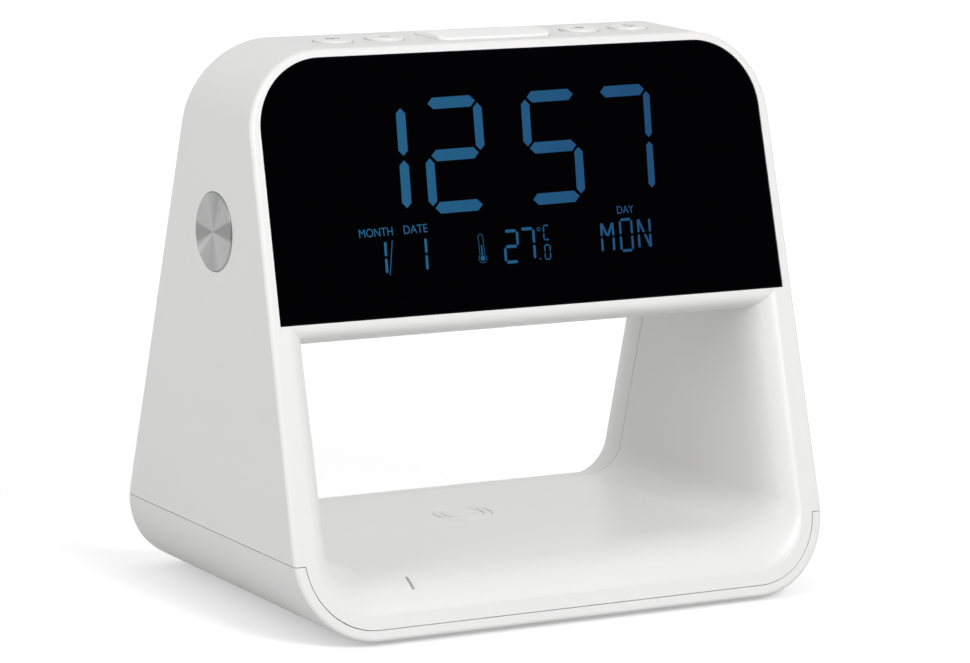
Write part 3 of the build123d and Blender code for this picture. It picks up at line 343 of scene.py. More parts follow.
def bump(tree, shader, height, distance, strength=0.3):
    """Feeds a height to the shader's normal through a Bump node; the distance is in metres."""
    node = add_node(tree, "ShaderNodeBump", in_Strength=strength, in_Distance=distance, in_Height=height)
    fill(tree, shader, Normal=node.outputs["Normal"])


# Materials of the clock

def cover(tree, shader, name, **values):
    """Feeds the shader's colour and roughness from a shared group: the group's outputs."""
    skin = place_group(tree, name, **values)
    fill(tree, shader, Base_Color=skin["Colour"], Roughness=skin["Roughness"])
    return skin


def moulded(name, colour, roughness=0.42, clouding=0.02, grain=0.0006, depth=0.00002):
    """A moulded plastic with the shared skin; the grain's size and depth are in metres."""
    material, tree, shader, position = new_material(name)
    skin = cover(tree, shader, "Moulded Skin", Position=position, Colour=colour, Clouding=clouding,
                 Grain_Size=grain, Roughness=roughness)
    bump(tree, shader, skin["Height"], depth)
    return material


def smoked_lens(look):
    """Near-black polished acrylic, with faint smears in its gloss."""
    material, tree, shader, position = new_material("smoked_lens", Specular_IOR_Level=0.08)
    cover(tree, shader, "Handling", Position=position, Roughness=0.05, Smears=0.05, Dust=0.004,
          Colour=look.lens_black)
    return material


def lit_segments(look):
    """Lit display marks: blue light that dims from the left end to the right, a little uneven."""
    material, tree, shader, position = new_material(
        "lit_segments", Base_Color=(0.002, 0.004, 0.008), Roughness=0.25, Specular_IOR_Level=0.1,
        Emission_Strength=1.0)
    ramp = add_node(tree, "ShaderNodeMapRange", clamp=True, in_Value=split(tree, position)["X"],
                    in_From_Min=-0.045, in_From_Max=0.045)
    lit = mix_colour(tree, ramp.outputs["Result"], look.lit_left, look.lit_right)
    least, change = 0.93, 0.14
    patch = math(tree, "ADD", least, math(tree, "MULTIPLY", noise(tree, position, scale=420.0), change))
    fill(tree, shader, Emission_Color=scaled(tree, lit, patch))
    return material


def spun_disc(centre):
    """Spun aluminium: fine rings about the disc's centre, so that light fans out across it.

    The tangent at a point is the disc's axis crossed with the arm from its centre. Fans of painted highlight
    and shade follow the arm's angle by the table of shares and tones, multiplied into the base colour.
    """
    material, tree, shader, position = new_material(
        "spun_disc", Metallic=1.0, Roughness=0.34, Anisotropic=0.8)
    middle = add_node(tree, "ShaderNodeMapping", in_Vector=position,
                      in_Location=tuple(-c for c in centre)).outputs[0]
    cut = place_group(tree, "Ring Cut", Position=middle, Pitch=0.00022, Colour=(0.385, 0.39, 0.385),
                      Tone=0.16)
    arm = split(tree, middle)
    angle = math(tree, "ARCTAN2", arm["Z"], arm["Y"])
    turn = math(tree, "FRACT", math(tree, "ADD", math(tree, "DIVIDE", angle, 2 * pi), 1.0))
    # painted highlight and shade: a tone for each angle round the centre, fixed in the colour
    painted_sheen = add_node(tree, "ShaderNodeValToRGB", in_Fac=turn)
    ramp = painted_sheen.color_ramp
    ramp.interpolation = "EASE"
    for place, tone in PAINTED_SPUN_SHEEN[1:-1]:
        ramp.elements.new(place)
    for element, (place, tone) in zip(ramp.elements, PAINTED_SPUN_SHEEN):
        element.position = place
        element.color = (tone, tone, tone, 1.0)
    sheen_painted_colour = mix_colour(tree, 1.0, cut["Colour"], painted_sheen.outputs["Color"], blend="MULTIPLY")
    tangent = add_node(tree, "ShaderNodeVectorMath", operation="CROSS_PRODUCT")
    tangent.inputs[0].default_value = (1.0, 0.0, 0.0)
    feed(tree, middle, tangent.inputs[1])
    fill(tree, shader, Base_Color=sheen_painted_colour, Tangent=tangent.outputs[0])
    bump(tree, shader, cut["Height"], distance=0.000012, strength=0.5)
    return material


def metal(name, colour, roughness, scale=600.0):
    """Drawn or plated metal with a fine grain in its polish."""
    material, tree, shader, position = new_material(name, Metallic=1.0)
    cover(tree, shader, "Handling", Position=position, Roughness=roughness, Smears=0.18, Dust=0.05,
          Colour=colour)
    bump(tree, shader, noise(tree, position, scale, detail=4.0), distance=0.00001, strength=0.4)
    return material


def circuit_board():
    """Solder mask over copper: broad traces in a lighter green, and rows of tinned pads."""
    material, tree, shader, position = new_material("circuit_board", Roughness=0.32)
    bare, trace_green, tin = (0.008, 0.075, 0.030), (0.018, 0.135, 0.055), (0.55, 0.55, 0.52)
    trace_width, pad_size, pad_level = 0.09, 0.16, 0.58
    cells = add_node(tree, "ShaderNodeTexVoronoi", in_Vector=position, in_Scale=330.0, in_Randomness=0.35,
                     feature="DISTANCE_TO_EDGE")
    trace = math(tree, "LESS_THAN", cells.outputs["Distance"], trace_width)
    pads = add_node(tree, "ShaderNodeTexVoronoi", in_Vector=position, in_Scale=520.0, in_Randomness=0.0,
                    feature="F1", distance="CHEBYCHEV")
    tinned = math(tree, "LESS_THAN", pads.outputs["Distance"], pad_size)
    rows = math(tree, "GREATER_THAN", noise(tree, position, scale=70.0), pad_level)
    chosen = math(tree, "MULTIPLY", tinned, rows)
    board = mix_colour(tree, trace, bare, trace_green)
    fill(tree, shader, Base_Color=mix_colour(tree, chosen, board, tin))
    bump(tree, shader, math(tree, "ADD", trace, chosen), distance=0.00004, strength=0.5)
    return material


def striped(name, pitch, share, ground, stripe, roughness=0.4):
    """A striped strip: the stripes stand across the X axis of the Object coordinates."""
    material, tree, shader, position = new_material(name, Roughness=roughness)
    lines = place_group(tree, "Stripes", Along=split(tree, position)["X"], Pitch=pitch, Share=share,
                        Ground=ground, Stripe=stripe)
    fill(tree, shader, Base_Color=lines["Colour"])
    bump(tree, shader, lines["Mask"], distance=0.00004, strength=0.4)
    return material


def clear_plastic(name, colour, roughness):
    """Clear or lightly tinted plastic that lets light through."""
    material, tree, shader, position = new_material(
        name, Base_Color=colour, Transmission_Weight=0.85, IOR=1.49)
    change = 0.06
    patch = math(tree, "MULTIPLY", noise(tree, position, scale=160.0), change)
    fill(tree, shader, Roughness=math(tree, "ADD", roughness, patch))
    return material


def pressed_paper():
    """Pressed paper cone with fibres."""
    material, tree, shader, position = new_material("pressed_paper", Roughness=0.85)
    fibre = noise(tree, position, scale=1400.0, detail=6.0, roughness=0.7)
    fill(tree, shader, Base_Color=mix_colour(tree, fibre, (0.018, 0.017, 0.016), (0.075, 0.072, 0.068)))
    bump(tree, shader, fibre, distance=0.00008, strength=0.6)
    return material


def key_print(look):
    """Pad-printed ink with fine paler flecks."""
    material, tree, shader, position = new_material("key_print", Roughness=0.5)
    paler = 2.2
    fleck = noise(tree, position, scale=2600.0)
    colour = mix_colour(tree, fleck, look.print_grey, [min(1.0, c * paler) for c in look.print_grey])
    fill(tree, shader, Base_Color=colour)
    return material


def dress(material, *nodes):
    """Gives CAD nodes their material, slot by slot."""
    for name in nodes:
        for slot in NODES[name].material_slots:
            slot.material = material


# Shapes

def new_piece(name, points, faces, material, body, slot, smooth=False):
    """A mesh object from arrays of points in metres, riding on a body."""
    mesh = bpy.data.meshes.new(name)
    mesh.from_pydata(np.asarray(points, float).tolist(), [], [list(f) for f in faces])
    mesh.validate()
    if smooth:
        mesh.shade_smooth()
    mesh.materials.append(material)
    piece = bpy.data.objects.new(name, mesh)
    bpy.context.scene.collection.objects.link(piece)
    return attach(piece, body)


def on_face(across, up, proud):
    """Points of the leaning front face: across and up the slope from its foot, proud of it, in metres.

    Depth is the foot's plus up times the lean's sine, less proud times its cosine; height is the stand's
    plus up times the cosine, plus proud times the sine.
    """
    y = FACE_FOOT_Y + up * sin(FRONT_LEAN) - proud * cos(FRONT_LEAN)
    z = FOOT_STAND + up * cos(FRONT_LEAN) + proud * sin(FRONT_LEAN)
    return np.stack([across, y, z], axis=-1) * MM


def prisms(outlines, place):
    """Flat shapes given a thickness: each outline of n points makes a lower and an upper ring.

    outlines is (shapes, n, 2), counter-clockwise seen from outside, and place maps (across, up, proud)
    to metres. Returns points and faces: two caps a shape and n walls between them.
    """
    shapes, n, _ = outlines.shape
    rings = [place(outlines[..., 0], outlines[..., 1], proud) for proud in MARK_LEVELS]
    points = np.concatenate(rings, axis=1).reshape(-1, 3)
    around = np.arange(n)
    walls = np.stack([around, np.roll(around, -1), n + np.roll(around, -1), n + around], axis=1)
    faces = []
    for start in 2 * n * np.arange(shapes):
        faces += [(start + n + around).tolist(), (start + around[::-1]).tolist()]
        faces += (start + walls).tolist()
    return points, faces


def bars(starts, ends, half):
    """Six-sided bars with pointed ends: outlines (bars, 6, 2) from tips start and end, and half widths.

    Each shoulder lies a half width in from its tip along the bar and a half width out to its side.
    """
    starts, ends = np.asarray(starts, float), np.asarray(ends, float)
    half = np.broadcast_to(half, len(starts))[:, None]
    along = ends - starts
    along = along / np.linalg.norm(along, axis=1, keepdims=True)
    side = np.stack([-along[:, 1], along[:, 0]], axis=1)
    reach = half * along
    out = half * side
    corners = [starts, starts + reach - out, ends - reach - out, ends, ends - reach + out,
               starts + reach + out]
    return np.stack(corners, axis=1)


# The bars of a digit or a letter, as shares of half its width and half its height
BAR_SHARES = {
    "a": ((-1, 1), (1, 1)), "b": ((1, 0), (1, 1)), "c": ((1, -1), (1, 0)), "d": ((-1, -1), (1, -1)),
    "e": ((-1, -1), (-1, 0)), "f": ((-1, 0), (-1, 1)), "g": ((-1, 0), (1, 0)),
    "h": ((-1, 1), (0, 0)), "j": ((0, 0), (1, 1)), "k": ((0, 0), (1, -1)),
}
# and which of them are lit
LIT_BARS = {
    "0": "abcdef", "1": "bc", "2": "abged", "5": "afgcd", "7": "abc", "C": "afed",
    "M": "efbchj", "O": "abcdef", "N": "efbchk",
}


def digit_bars(letter, centre, half_width, half_height, stroke, level_stroke, gap, slant):
    """Outlines of a letter's lit bars, each short of its corners by the gap.

    They lean by slant times the height over the letter's centre.
    """
    shares = np.array([BAR_SHARES[bar] for bar in LIT_BARS[letter]])
    starts, ends = np.moveaxis(shares * (half_width, half_height), 1, 0)
    step = (ends - starts) / np.linalg.norm(ends - starts, axis=1, keepdims=True) * gap
    tips = np.stack([starts + step, ends - step])
    tips[..., 0] += slant * tips[..., 1]
    level = shares[:, 0, 1] == shares[:, 1, 1]
    return bars(*(tips + centre), np.where(level, level_stroke, stroke) / 2)


def turned(points, angle, about):
    """Points turned in their plane about a point, clockwise by the angle."""
    points = np.asarray(points, float) - about
    turn = np.array(((cos(angle), sin(angle)), (-sin(angle), cos(angle))))
    return points @ turn + about


def flat_words(words, low_left, width, height):
    """Plain letters as a flat mesh, scaled to a width and a height: (points, faces) in the plane."""
    curve = bpy.data.curves.new("words", "FONT")
    curve.body = words
    curve.resolution_u = 6
    holder = bpy.data.objects.new("words", curve)
    mesh = bpy.data.meshes.new_from_object(holder)
    points = np.zeros(len(mesh.vertices) * 3)
    mesh.vertices.foreach_get("co", points)
    points = points.reshape(-1, 3)[:, :2]
    faces = [tuple(p.vertices) for p in mesh.polygons]
    low, high = points.min(0), points.max(0)
    points = (points - low) / (high - low) * (width, height) + low_left
    bpy.data.objects.remove(holder)
    bpy.data.curves.remove(curve)
    bpy.data.meshes.remove(mesh)
    return points, faces


# Places on the front face, across and up the slope from its foot
DISPLAY_MIDDLE = (0.0, 115.8)
BIG_GAP = 0.55
BIG_LEVEL_STROKE = 2.8
# each digit with its middle, half its width, its uprights' width, half its height and its lean
BIG_DIGITS = (("1", -40.05, 7.15, 2.55, 12.7, 0.066), ("2", -18.6, 7.15, 2.4, 12.75, 0.061),
              ("5", 9.1, 7.15, 2.35, 12.65, 0.074), ("7", 29.95, 6.95, 1.85, 12.6, 0.08))
SMALL_HALF_WIDTH = 1.8
SMALL_STROKE = 0.68
SMALL_GAP = 0.18
SMALL_LEVEL_SHARE = 1.1
# each letter with its middle and half its height
DATE_DIGITS = (("1", (-42.6, 91.6), 4.05), ("1", (-31.5, 91.75), 4.05))
SLASH = ((-40.28, 87.2), (-38.62, 95.65))
SLASH_STROKE = 0.2
DEGREES_DIGITS = (("2", (-5.95, 92.1), 3.8), ("7", (-1.3, 92.35), 3.8))
TINY_HALF_WIDTH = 0.75
TINY_STROKE = 0.3
TINY_GAP = 0.1
TINY_LETTERS = (("C", (4.3, 94.9), 1.75), ("0", (4.05, 90.1), 1.75))
DEGREE_RING = (2.2, 95.85)
DEGREE_RING_R = 0.5
DEGREE_RING_LINE = 0.17
POINT_PLACE = (1.75, 88.55)
POINT_SIZE = 0.5
DAY_LETTERS = (("M", (21.6, 92.75), 3.7), ("O", (27.05, 92.9), 3.85), ("N", (32.3, 93.05), 3.75))
DAY_HALF_WIDTH = 1.65
DAY_STROKE = 0.6
# each label with its lower left corner, its width and its height
LABELS = (("MONTH", (-47.4, 96.7), 9.2, 2.05), ("DATE", (-35.15, 96.95), 6.5, 2.0),
          ("DAY", (25.2, 98.25), 4.8, 1.9))
THERMOMETER_FOOT = (-14.3, 89.7)
THERMOMETER_BULB_R = 1.15
THERMOMETER_STEM_HALF = 0.72
THERMOMETER_HEIGHT = 6.0
THERMOMETER_LINE = 0.13
THERMOMETER_FILL = 0.55    # the liquid's bulb and column, as a share of the casing's
COLUMN_HALF = 0.16


def lens_piece(name, shape, material):
    """Points and faces that lie on the lens as one piece."""
    new_piece(name, *shape, material, "clock", "glass")


def small_bars(letters, half_width, stroke, gap, slant):
    """Outlines of the lit bars of several small letters together."""
    return np.concatenate([
        digit_bars(letter, middle, half_width, half_height, stroke, stroke * SMALL_LEVEL_SHARE, gap, slant)
        for letter, middle, half_height in letters])


def thermometer_line(bulb, half, height, steps=24):
    """A thermometer's outline about its bulb's centre: round the bulb, up the stem, over the top.

    The bulb is an arc from one side of the neck to the other, where its height is the root of the bulb's
    radius squared less the stem's half width squared, and the top is a half circle of that half width.
    """
    neck = atan2(sqrt(bulb ** 2 - half ** 2), half)
    low = np.linspace(pi - neck, 2 * pi + neck, steps)
    over = np.linspace(0, pi, steps)
    round_bulb = bulb * np.stack([np.cos(low), np.sin(low)], axis=1)
    round_top = half * np.stack([np.cos(over), np.sin(over)], axis=1) + (0, height - half)
    return np.concatenate([round_bulb, round_top])


def ring_prism(inner, outer, place):
    """A band between two outlines of equal count, with a thickness: (points, faces)."""
    n = len(inner)
    rings = [place(line[:, 0], line[:, 1], proud) for proud in MARK_LEVELS for line in (inner, outer)]
    points = np.concatenate(rings)
    a = np.arange(n)
    b = np.roll(a, -1)
    quads = [
        np.stack([2 * n + a, 3 * n + a, 3 * n + b, 2 * n + b], axis=1),
        np.stack([a, b, n + b, n + a], axis=1),
        np.stack([n + a, n + b, 3 * n + b, 3 * n + a], axis=1),
        np.stack([a, 2 * n + a, 2 * n + b, b], axis=1),
    ]
    return points, np.concatenate(quads).tolist()


def raised(flat, faces, place):
    """A flat mesh given a thickness: (points, faces).

    Its faces stand above, the same turned over below, and a wall on each open edge, along which no other
    face runs the other way.
    """
    points = np.concatenate([place(flat[:, 0], flat[:, 1], proud) for proud in MARK_LEVELS])
    n = len(flat)
    edges = {(face[i - 1], face[i]) for face in faces for i in range(len(face))}
    walls = [(a, b, b + n, a + n) for a, b in sorted(edges) if (b, a) not in edges]
    above = [[i + n for i in face] for face in faces]
    below = [list(face)[::-1] for face in faces]
    return points, above + below + walls


def joined(parts):
    """Several (points, faces) as one."""
    points, faces, start = [], [], 0
    for some, their in parts:
        points.append(some)
        faces += [[i + start for i in face] for face in their]
        start += len(some)
    return np.concatenate(points), faces


def disc_line(centre, radius, steps=32):
    """A circle's points in the plane: its centre plus the radius times the cosine and sine of even turns."""
    turn = np.linspace(0, 2 * pi, steps, endpoint=False)
    return np.array(centre) + radius * np.stack([np.cos(turn), np.sin(turn)], axis=1)


# Operators, one for each piece or group of like pieces

class DressShell(Operator):
    """White moulded shell, covers and door, with their screws and feet"""

    bl_idname = "alarm_clock.dress_shell"
    bl_label = "Dress Shell"

    def execute(self, context):
        look = context.scene.clock_shell
        shell = moulded("shell_white", look.white, roughness=0.36, grain=look.grain_size)
        dress(shell, "main_housing", "rear_cover", "battery_door")
        base = moulded("base_white", [c * BASE_SHADE for c in look.white], grain=look.grain_size)
        dress(base, "bottom_cover")
        rubber = moulded("foot_rubber", (0.022, 0.022, 0.023), roughness=0.78, clouding=0.3, grain=0.0004,
                         depth=0.00006)
        dress(rubber, "rubber_feet")
        steel = metal("bright_steel", (0.58, 0.58, 0.57), 0.28)
        dress(steel, "bottom_cover_screws", "rear_cover_screws", "battery_door_screw")
        return {"FINISHED"}


class DressKeys(Operator):
    """Satin white keys and snooze bar"""

    bl_idname = "alarm_clock.dress_keys"
    bl_label = "Dress Keys"

    def execute(self, context):
        look = context.scene.clock_shell
        bar = moulded("bar_white", look.bar_white, roughness=0.26, clouding=0.015, depth=0.00001)
        cap = moulded("key_white", look.white, roughness=0.28, clouding=0.015, depth=0.00001)
        dress(bar, "snooze_bar")
        dress(cap, *KEYS)
        return {"FINISHED"}


class PrintKeys(Operator):
    """Printed marks on the keys and on the bar"""

    bl_idname = "alarm_clock.print_keys"
    bl_label = "Print Keys"

    cap_height: number_property("Letter Height", "Height of the letters in millimetres", 1.7, 0.5, 5.0)

    def execute(self, context):
        ink = key_print(context.scene.clock_shell)
        places = {name: key_middle(name) for name in (*KEYS, "snooze_bar")}
        low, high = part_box("snooze_bar")
        half_depth = (high.y - low.y) / 2 / MM

        # a key's top is flat; the bar's falls from its crown with the square of the way to its edge
        def on_key(across, up, proud, rise=KEY_RISE):
            return np.stack(np.broadcast_arrays(across, up, TOP_Z + rise + proud), axis=-1) * MM

        def on_bar(across, up, proud):
            return on_key(across, up, proud, BAR_EDGE_RISE + BAR_CROWN * (1 - (up / half_depth) ** 2))

        minus = bars([(-SIGN_HALF, 0)], [(SIGN_HALF, 0)], SIGN_HALF_STROKE)
        upright = bars([(0, -SIGN_HALF)], [(0, SIGN_HALF)], SIGN_HALF_STROKE)
        plus = np.concatenate([minus, upright])
        for name, outlines in (("minus_key", minus), ("plus_key", plus)):
            new_piece(f"{name}_mark", *prisms(outlines + (places[name], 0), on_key), ink, name, "chip")
        for name, letters, width in KEY_WORDS:
            up = -self.cap_height / 2 if name in KEYS else half_depth / 2
            flat, faces = flat_words(letters, (places[name] - width / 2, up), width, self.cap_height)
            place = on_key if name in KEYS else on_bar
            new_piece(f"{name}_mark", *raised(flat, faces, place), ink, name, "chip")
        centre = places["alarm_key"]
        bell = ring_prism(bell_line(BELL_INSIDE) + (centre, 0), bell_line(1.0) + (centre, 0), on_key)
        clapper = prisms(disc_line((centre, -CLAPPER_DROP), CLAPPER_R)[None], on_key)
        new_piece("alarm_key_mark", *joined([bell, clapper]), ink, "alarm_key", "chip")
        return {"FINISHED"}


def key_middle(name):
    """A key's middle across the clock, in millimetres."""
    low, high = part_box(name)
    return (low.x + high.x) / 2 / MM


def bell_line(scale, steps=25):
    """A bell's outline: a round crown that flares out to its rim, mirrored about the middle.

    With t from 0 at the crown to 1 at the rim, the half width is 0.35 + 0.75 root t + 0.45 t to the sixth,
    and the height 1.5 - 2.7 t to the 1.2, both times the scale and BELL_SIZE.
    """
    t = np.linspace(0, 1, steps)
    half = 0.35 + 0.75 * np.sqrt(t) + 0.45 * t ** 6
    up = 1.5 - 2.7 * t ** 1.2
    right = np.stack([half, up], axis=1)
    left = right[::-1] * (-1, 1)
    return np.concatenate([left, right]) * scale * BELL_SIZE


class DressDisc(Operator):
    """Spun metal disc in the left flank"""

    bl_idname = "alarm_clock.dress_disc"
    bl_label = "Dress Disc"

    def execute(self, context):
        low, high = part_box("side_disc")
        dress(spun_disc((low + high) / 2), "side_disc")
        return {"FINISHED"}


class DressLens(Operator):
    """Smoked lens"""

    bl_idname = "alarm_clock.dress_lens"
    bl_label = "Dress Lens"

    def execute(self, context):
        dress(smoked_lens(context.scene.clock_display), "display_lens")
        return {"FINISHED"}


class LightDisplay(Operator):
    """Lit digits, letters and signs of the display"""

    bl_idname = "alarm_clock.light_display"
    bl_label = "Light Display"

    def execute(self, context):
        look = context.scene.clock_display
        lit = lit_segments(look)
        time_bars = np.concatenate([
            digit_bars(letter, (across, DISPLAY_MIDDLE[1]), half_width, half_height, stroke, BIG_LEVEL_STROKE,
                       BIG_GAP, slant)
            for letter, across, half_width, stroke, half_height, slant in BIG_DIGITS])
        time_bars = turned(time_bars, look.row_turn, DISPLAY_MIDDLE)
        lens_piece("time_digits", prisms(time_bars, on_face), lit)

        date = small_bars(DATE_DIGITS, SMALL_HALF_WIDTH, SMALL_STROKE, SMALL_GAP, look.slant)
        slash = bars([SLASH[0]], [SLASH[1]], SLASH_STROKE / 2)
        lens_piece("date_digits", prisms(np.concatenate([date, slash]), on_face), lit)

        warm = small_bars(DEGREES_DIGITS, SMALL_HALF_WIDTH, SMALL_STROKE, SMALL_GAP, look.slant)
        tiny = small_bars(TINY_LETTERS, TINY_HALF_WIDTH, TINY_STROKE, TINY_GAP, look.slant)
        point, reach = np.array(POINT_PLACE), (POINT_SIZE / 2, 0)
        dot = bars([point - reach], [point + reach], POINT_SIZE / 2)
        lens_piece("temperature_digits", prisms(np.concatenate([warm, tiny, dot]), on_face), lit)
        ring = ring_prism(disc_line(DEGREE_RING, DEGREE_RING_R - DEGREE_RING_LINE),
                          disc_line(DEGREE_RING, DEGREE_RING_R), on_face)
        lens_piece("degree_ring", ring, lit)

        foot = np.array(THERMOMETER_FOOT)
        sizes = np.array((THERMOMETER_BULB_R, THERMOMETER_STEM_HALF, THERMOMETER_HEIGHT))
        casing = ring_prism(thermometer_line(*(sizes - THERMOMETER_LINE)) + foot,
                            thermometer_line(*sizes) + foot, on_face)
        bulb = prisms(disc_line(foot, THERMOMETER_BULB_R * THERMOMETER_FILL)[None], on_face)
        column_top = foot + (0, THERMOMETER_HEIGHT * THERMOMETER_FILL)
        column = prisms(bars([foot], [column_top], COLUMN_HALF), on_face)
        lens_piece("thermometer_sign", joined([casing, bulb, column]), lit)

        day = small_bars(DAY_LETTERS, DAY_HALF_WIDTH, DAY_STROKE, SMALL_GAP, look.slant)
        lens_piece("day_letters", prisms(day, on_face), lit)
        for words, place, width, height in LABELS:
            flat, faces = flat_words(words, place, width, height)
            flat = turned(flat, look.row_turn, place)
            lens_piece(f"label_{words.lower()}", raised(flat, faces, on_face), lit)
        return {"FINISHED"}


class DressInside(Operator):
    """Boards, chips, switches, speaker and the other pieces inside"""

    bl_idname = "alarm_clock.dress_inside"
    bl_label = "Dress Inside"

    def execute(self, context):
        dark = moulded("inner_plastic", (0.035, 0.035, 0.037), roughness=0.5, clouding=0.2)
        dress(dark, "display_bezel", "disc_carrier", "cell_cup", "coil_tray", "key_switches", "disc_switch")
        nylon = moulded("plunger_plastic", (0.42, 0.40, 0.36), roughness=0.45)
        plungers = [name for name in NODES if name.endswith("_plunger")]
        dress(nylon, "main_board_plug", "charger_board_plug", *plungers)
        dress(circuit_board(), "main_board", "key_board", "disc_board", "usb_board", "charger_board")
        chip = moulded("chip_black", (0.012, 0.012, 0.013), roughness=0.55, clouding=0.4, grain=0.0002)
        dress(chip, "main_board_chips", "charger_board_chips", "temperature_sensor")
        steel = metal("plated_steel", (0.56, 0.56, 0.55), 0.3)
        dress(steel, "display_screws", "key_board_screws", "disc_board_screws", "coil_tray_screws",
              "charger_board_screws", "usb_shell", "coin_cell", "cell_contact", "speaker_basket")
        dress(metal("sintered_magnet", (0.12, 0.12, 0.125), 0.5, 900.0), "speaker_magnet", "ferrite_sheet")
        dress(pressed_paper(), "speaker_cone")
        dress(clear_plastic("display_glass", (0.62, 0.70, 0.74), 0.04), "lcd_glass")
        dress(clear_plastic("guide_acrylic", (0.92, 0.95, 0.98), 0.08), "light_guide", "charge_lamp")
        dress(moulded("pipe_smoke", (0.42, 0.42, 0.425), roughness=0.2, clouding=0.2), "light_pipe")
        zebra = striped("contact_rubber", 0.0004, 0.5, (0.012, 0.012, 0.012), (0.5, 0.48, 0.42))
        dress(zebra, "contact_strip")
        film = striped("ribbon_film", 0.001, 0.55, (0.42, 0.20, 0.045), (0.62, 0.40, 0.16), 0.3)
        dress(film, "key_ribbon")
        pins = striped("socket_pins", 0.0005, 0.5, (0.02, 0.02, 0.02), (0.72, 0.55, 0.22), 0.3)
        dress(pins, "usb_tongue")
        lead = moulded("lead_sleeve", (0.32, 0.02, 0.02), roughness=0.45, clouding=0.2, grain=0.0008)
        dress(lead, "leg_wire")
        return {"FINISHED"}


# The wound coil: its inner radius in metres, the wire's share of a turn, and how finely it is drawn
COIL_INNER = 0.010
WIRE_SHARE = 0.96
STEPS_A_TURN = 48
WIRE_SIDES = 10


class WindCoil(Operator):
    """Charging coil wound in a flat spiral of lacquered wire.

    The radius grows evenly with the turn from the inner to the outer edge, and an oval section, as high
    as the coil and a little narrower than a turn, is carried along it.
    """

    bl_idname = "alarm_clock.wind_coil"
    bl_label = "Wind Coil"

    turns: number_property("Turns", "Turns of the spiral", 9.0, 2.0, 30.0)

    def execute(self, context):
        low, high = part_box("charging_coil")
        centre = (low + high) / 2
        outer = (high.x - low.x) / 2
        across = WIRE_SHARE * (outer - COIL_INNER) / self.turns
        tall = high.z - low.z
        steps = int(STEPS_A_TURN * self.turns)
        turn = np.linspace(0, 2 * pi * self.turns, steps)
        radius = COIL_INNER + across / 2 + (outer - COIL_INNER - across) * turn / turn[-1]
        around = np.linspace(0, 2 * pi, WIRE_SIDES, endpoint=False)
        r = radius[:, None] + across / 2 * np.cos(around)
        z = np.broadcast_to(centre.z + tall / 2 * np.sin(around), r.shape)
        points = np.stack([centre.x + r * np.cos(turn)[:, None], centre.y + r * np.sin(turn)[:, None], z], -1)
        # each quad joins two neighbours of a section to the same two of the next
        i, j = np.meshgrid(np.arange(steps - 1), np.arange(WIRE_SIDES), indexing="ij")
        k = (j + 1) % WIRE_SIDES
        here, there = i * WIRE_SIDES, (i + 1) * WIRE_SIDES
        quads = np.stack([here + j, there + j, there + k, here + k], -1).reshape(-1, 4)
        first = np.arange(WIRE_SIDES)
        ends = [first.tolist(), (steps * WIRE_SIDES - 1 - first).tolist()]
        wire = metal("lacquered_wire", (0.56, 0.20, 0.07), 0.28)
        piece = new_piece("coil_winding", points.reshape(-1, 3), quads.tolist() + ends, wire, "clock",
                          "copper", smooth=True)
        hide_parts("charging_coil")
        return {"FINISHED"}


class BuildStage(Operator):
    """Pale floor, even studio light and the camera"""

    bl_idname = "alarm_clock.build_stage"
    bl_label = "Build Stage"

    def execute(self, context):
        look = context.scene.clock_stage
        scene = context.scene
        scene.view_settings.view_transform = "Standard"
        build_camera(scene, look)
        build_world(scene, look)
        build_lamps(scene, look)
        build_floor(scene, look)
        return {"FINISHED"}


def build_camera(scene, look):
    """The camera at the photograph's angle, turned by its roll about its own axis."""
    ahead = Vector((sin(look.azimuth) * cos(look.elevation), cos(look.azimuth) * cos(look.elevation),
                    -sin(look.elevation)))
    right = ahead.cross(Vector((0, 0, 1))).normalized()
    up = right.cross(ahead)
    across = right * cos(look.roll) + up * sin(look.roll)
    above = up * cos(look.roll) - right * sin(look.roll)
    data = bpy.data.cameras.new("photo_camera")
    data.lens = look.lens
    data.sensor_width = 36.0
    camera = bpy.data.objects.new("photo_camera", data)
    scene.collection.objects.link(camera)
    matrix = Matrix((across, above, -ahead)).transposed().to_4x4()
    matrix.translation = Vector(look.aim) - ahead * look.distance
    camera.matrix_world = matrix
    scene.camera = camera


def build_world(scene, look):
    """Even light on the clock, white behind it, and a darker room in front for reflections.

    A reflection's brightness climbs with the Y of its direction, from the dark front to the white back.
    """
    world = bpy.data.worlds.new("studio")
    scene.world = world
    world.use_nodes = True
    tree = world.node_tree
    tree.nodes.clear()
    path = add_node(tree, "ShaderNodeLightPath").outputs
    way = add_node(tree, "ShaderNodeTexCoord").outputs["Generated"]
    behind = add_node(tree, "ShaderNodeMapRange", clamp=True, in_Value=split(tree, way)["Y"],
                      in_From_Min=-0.75, in_From_Max=0.35, in_To_Min=0.04, in_To_Max=1.0)
    shown = math(tree, "MAXIMUM", path["Is Camera Ray"], path["Is Transmission Ray"])
    glossy = math(tree, "MULTIPLY", path["Is Glossy Ray"], behind.outputs["Result"])
    seen = math(tree, "MAXIMUM", shown, glossy)
    either = math(tree, "MAXIMUM", shown, path["Is Glossy Ray"])
    rest = math(tree, "MULTIPLY", math(tree, "SUBTRACT", 1.0, either), look.sky)
    light = add_node(tree, "ShaderNodeBackground", in_Color=(1.0, 1.0, 1.0),
                     in_Strength=math(tree, "ADD", seen, rest))
    add_node(tree, "ShaderNodeOutputWorld", in_Surface=light.outputs[0])


# Each lamp with its place and its width in metres; the one behind shows in no reflection
LAMPS = (("key", (0.12, -1.1, 0.74), 0.5), ("side", (-1.1, -0.1, 0.45), 0.6), ("back", (-0.5, 1.1, 0.5), 0.7))
FRONT_LAMPS = LAMPS[:2]
LAMP_AIM = (0.0, 0.0, 0.07)


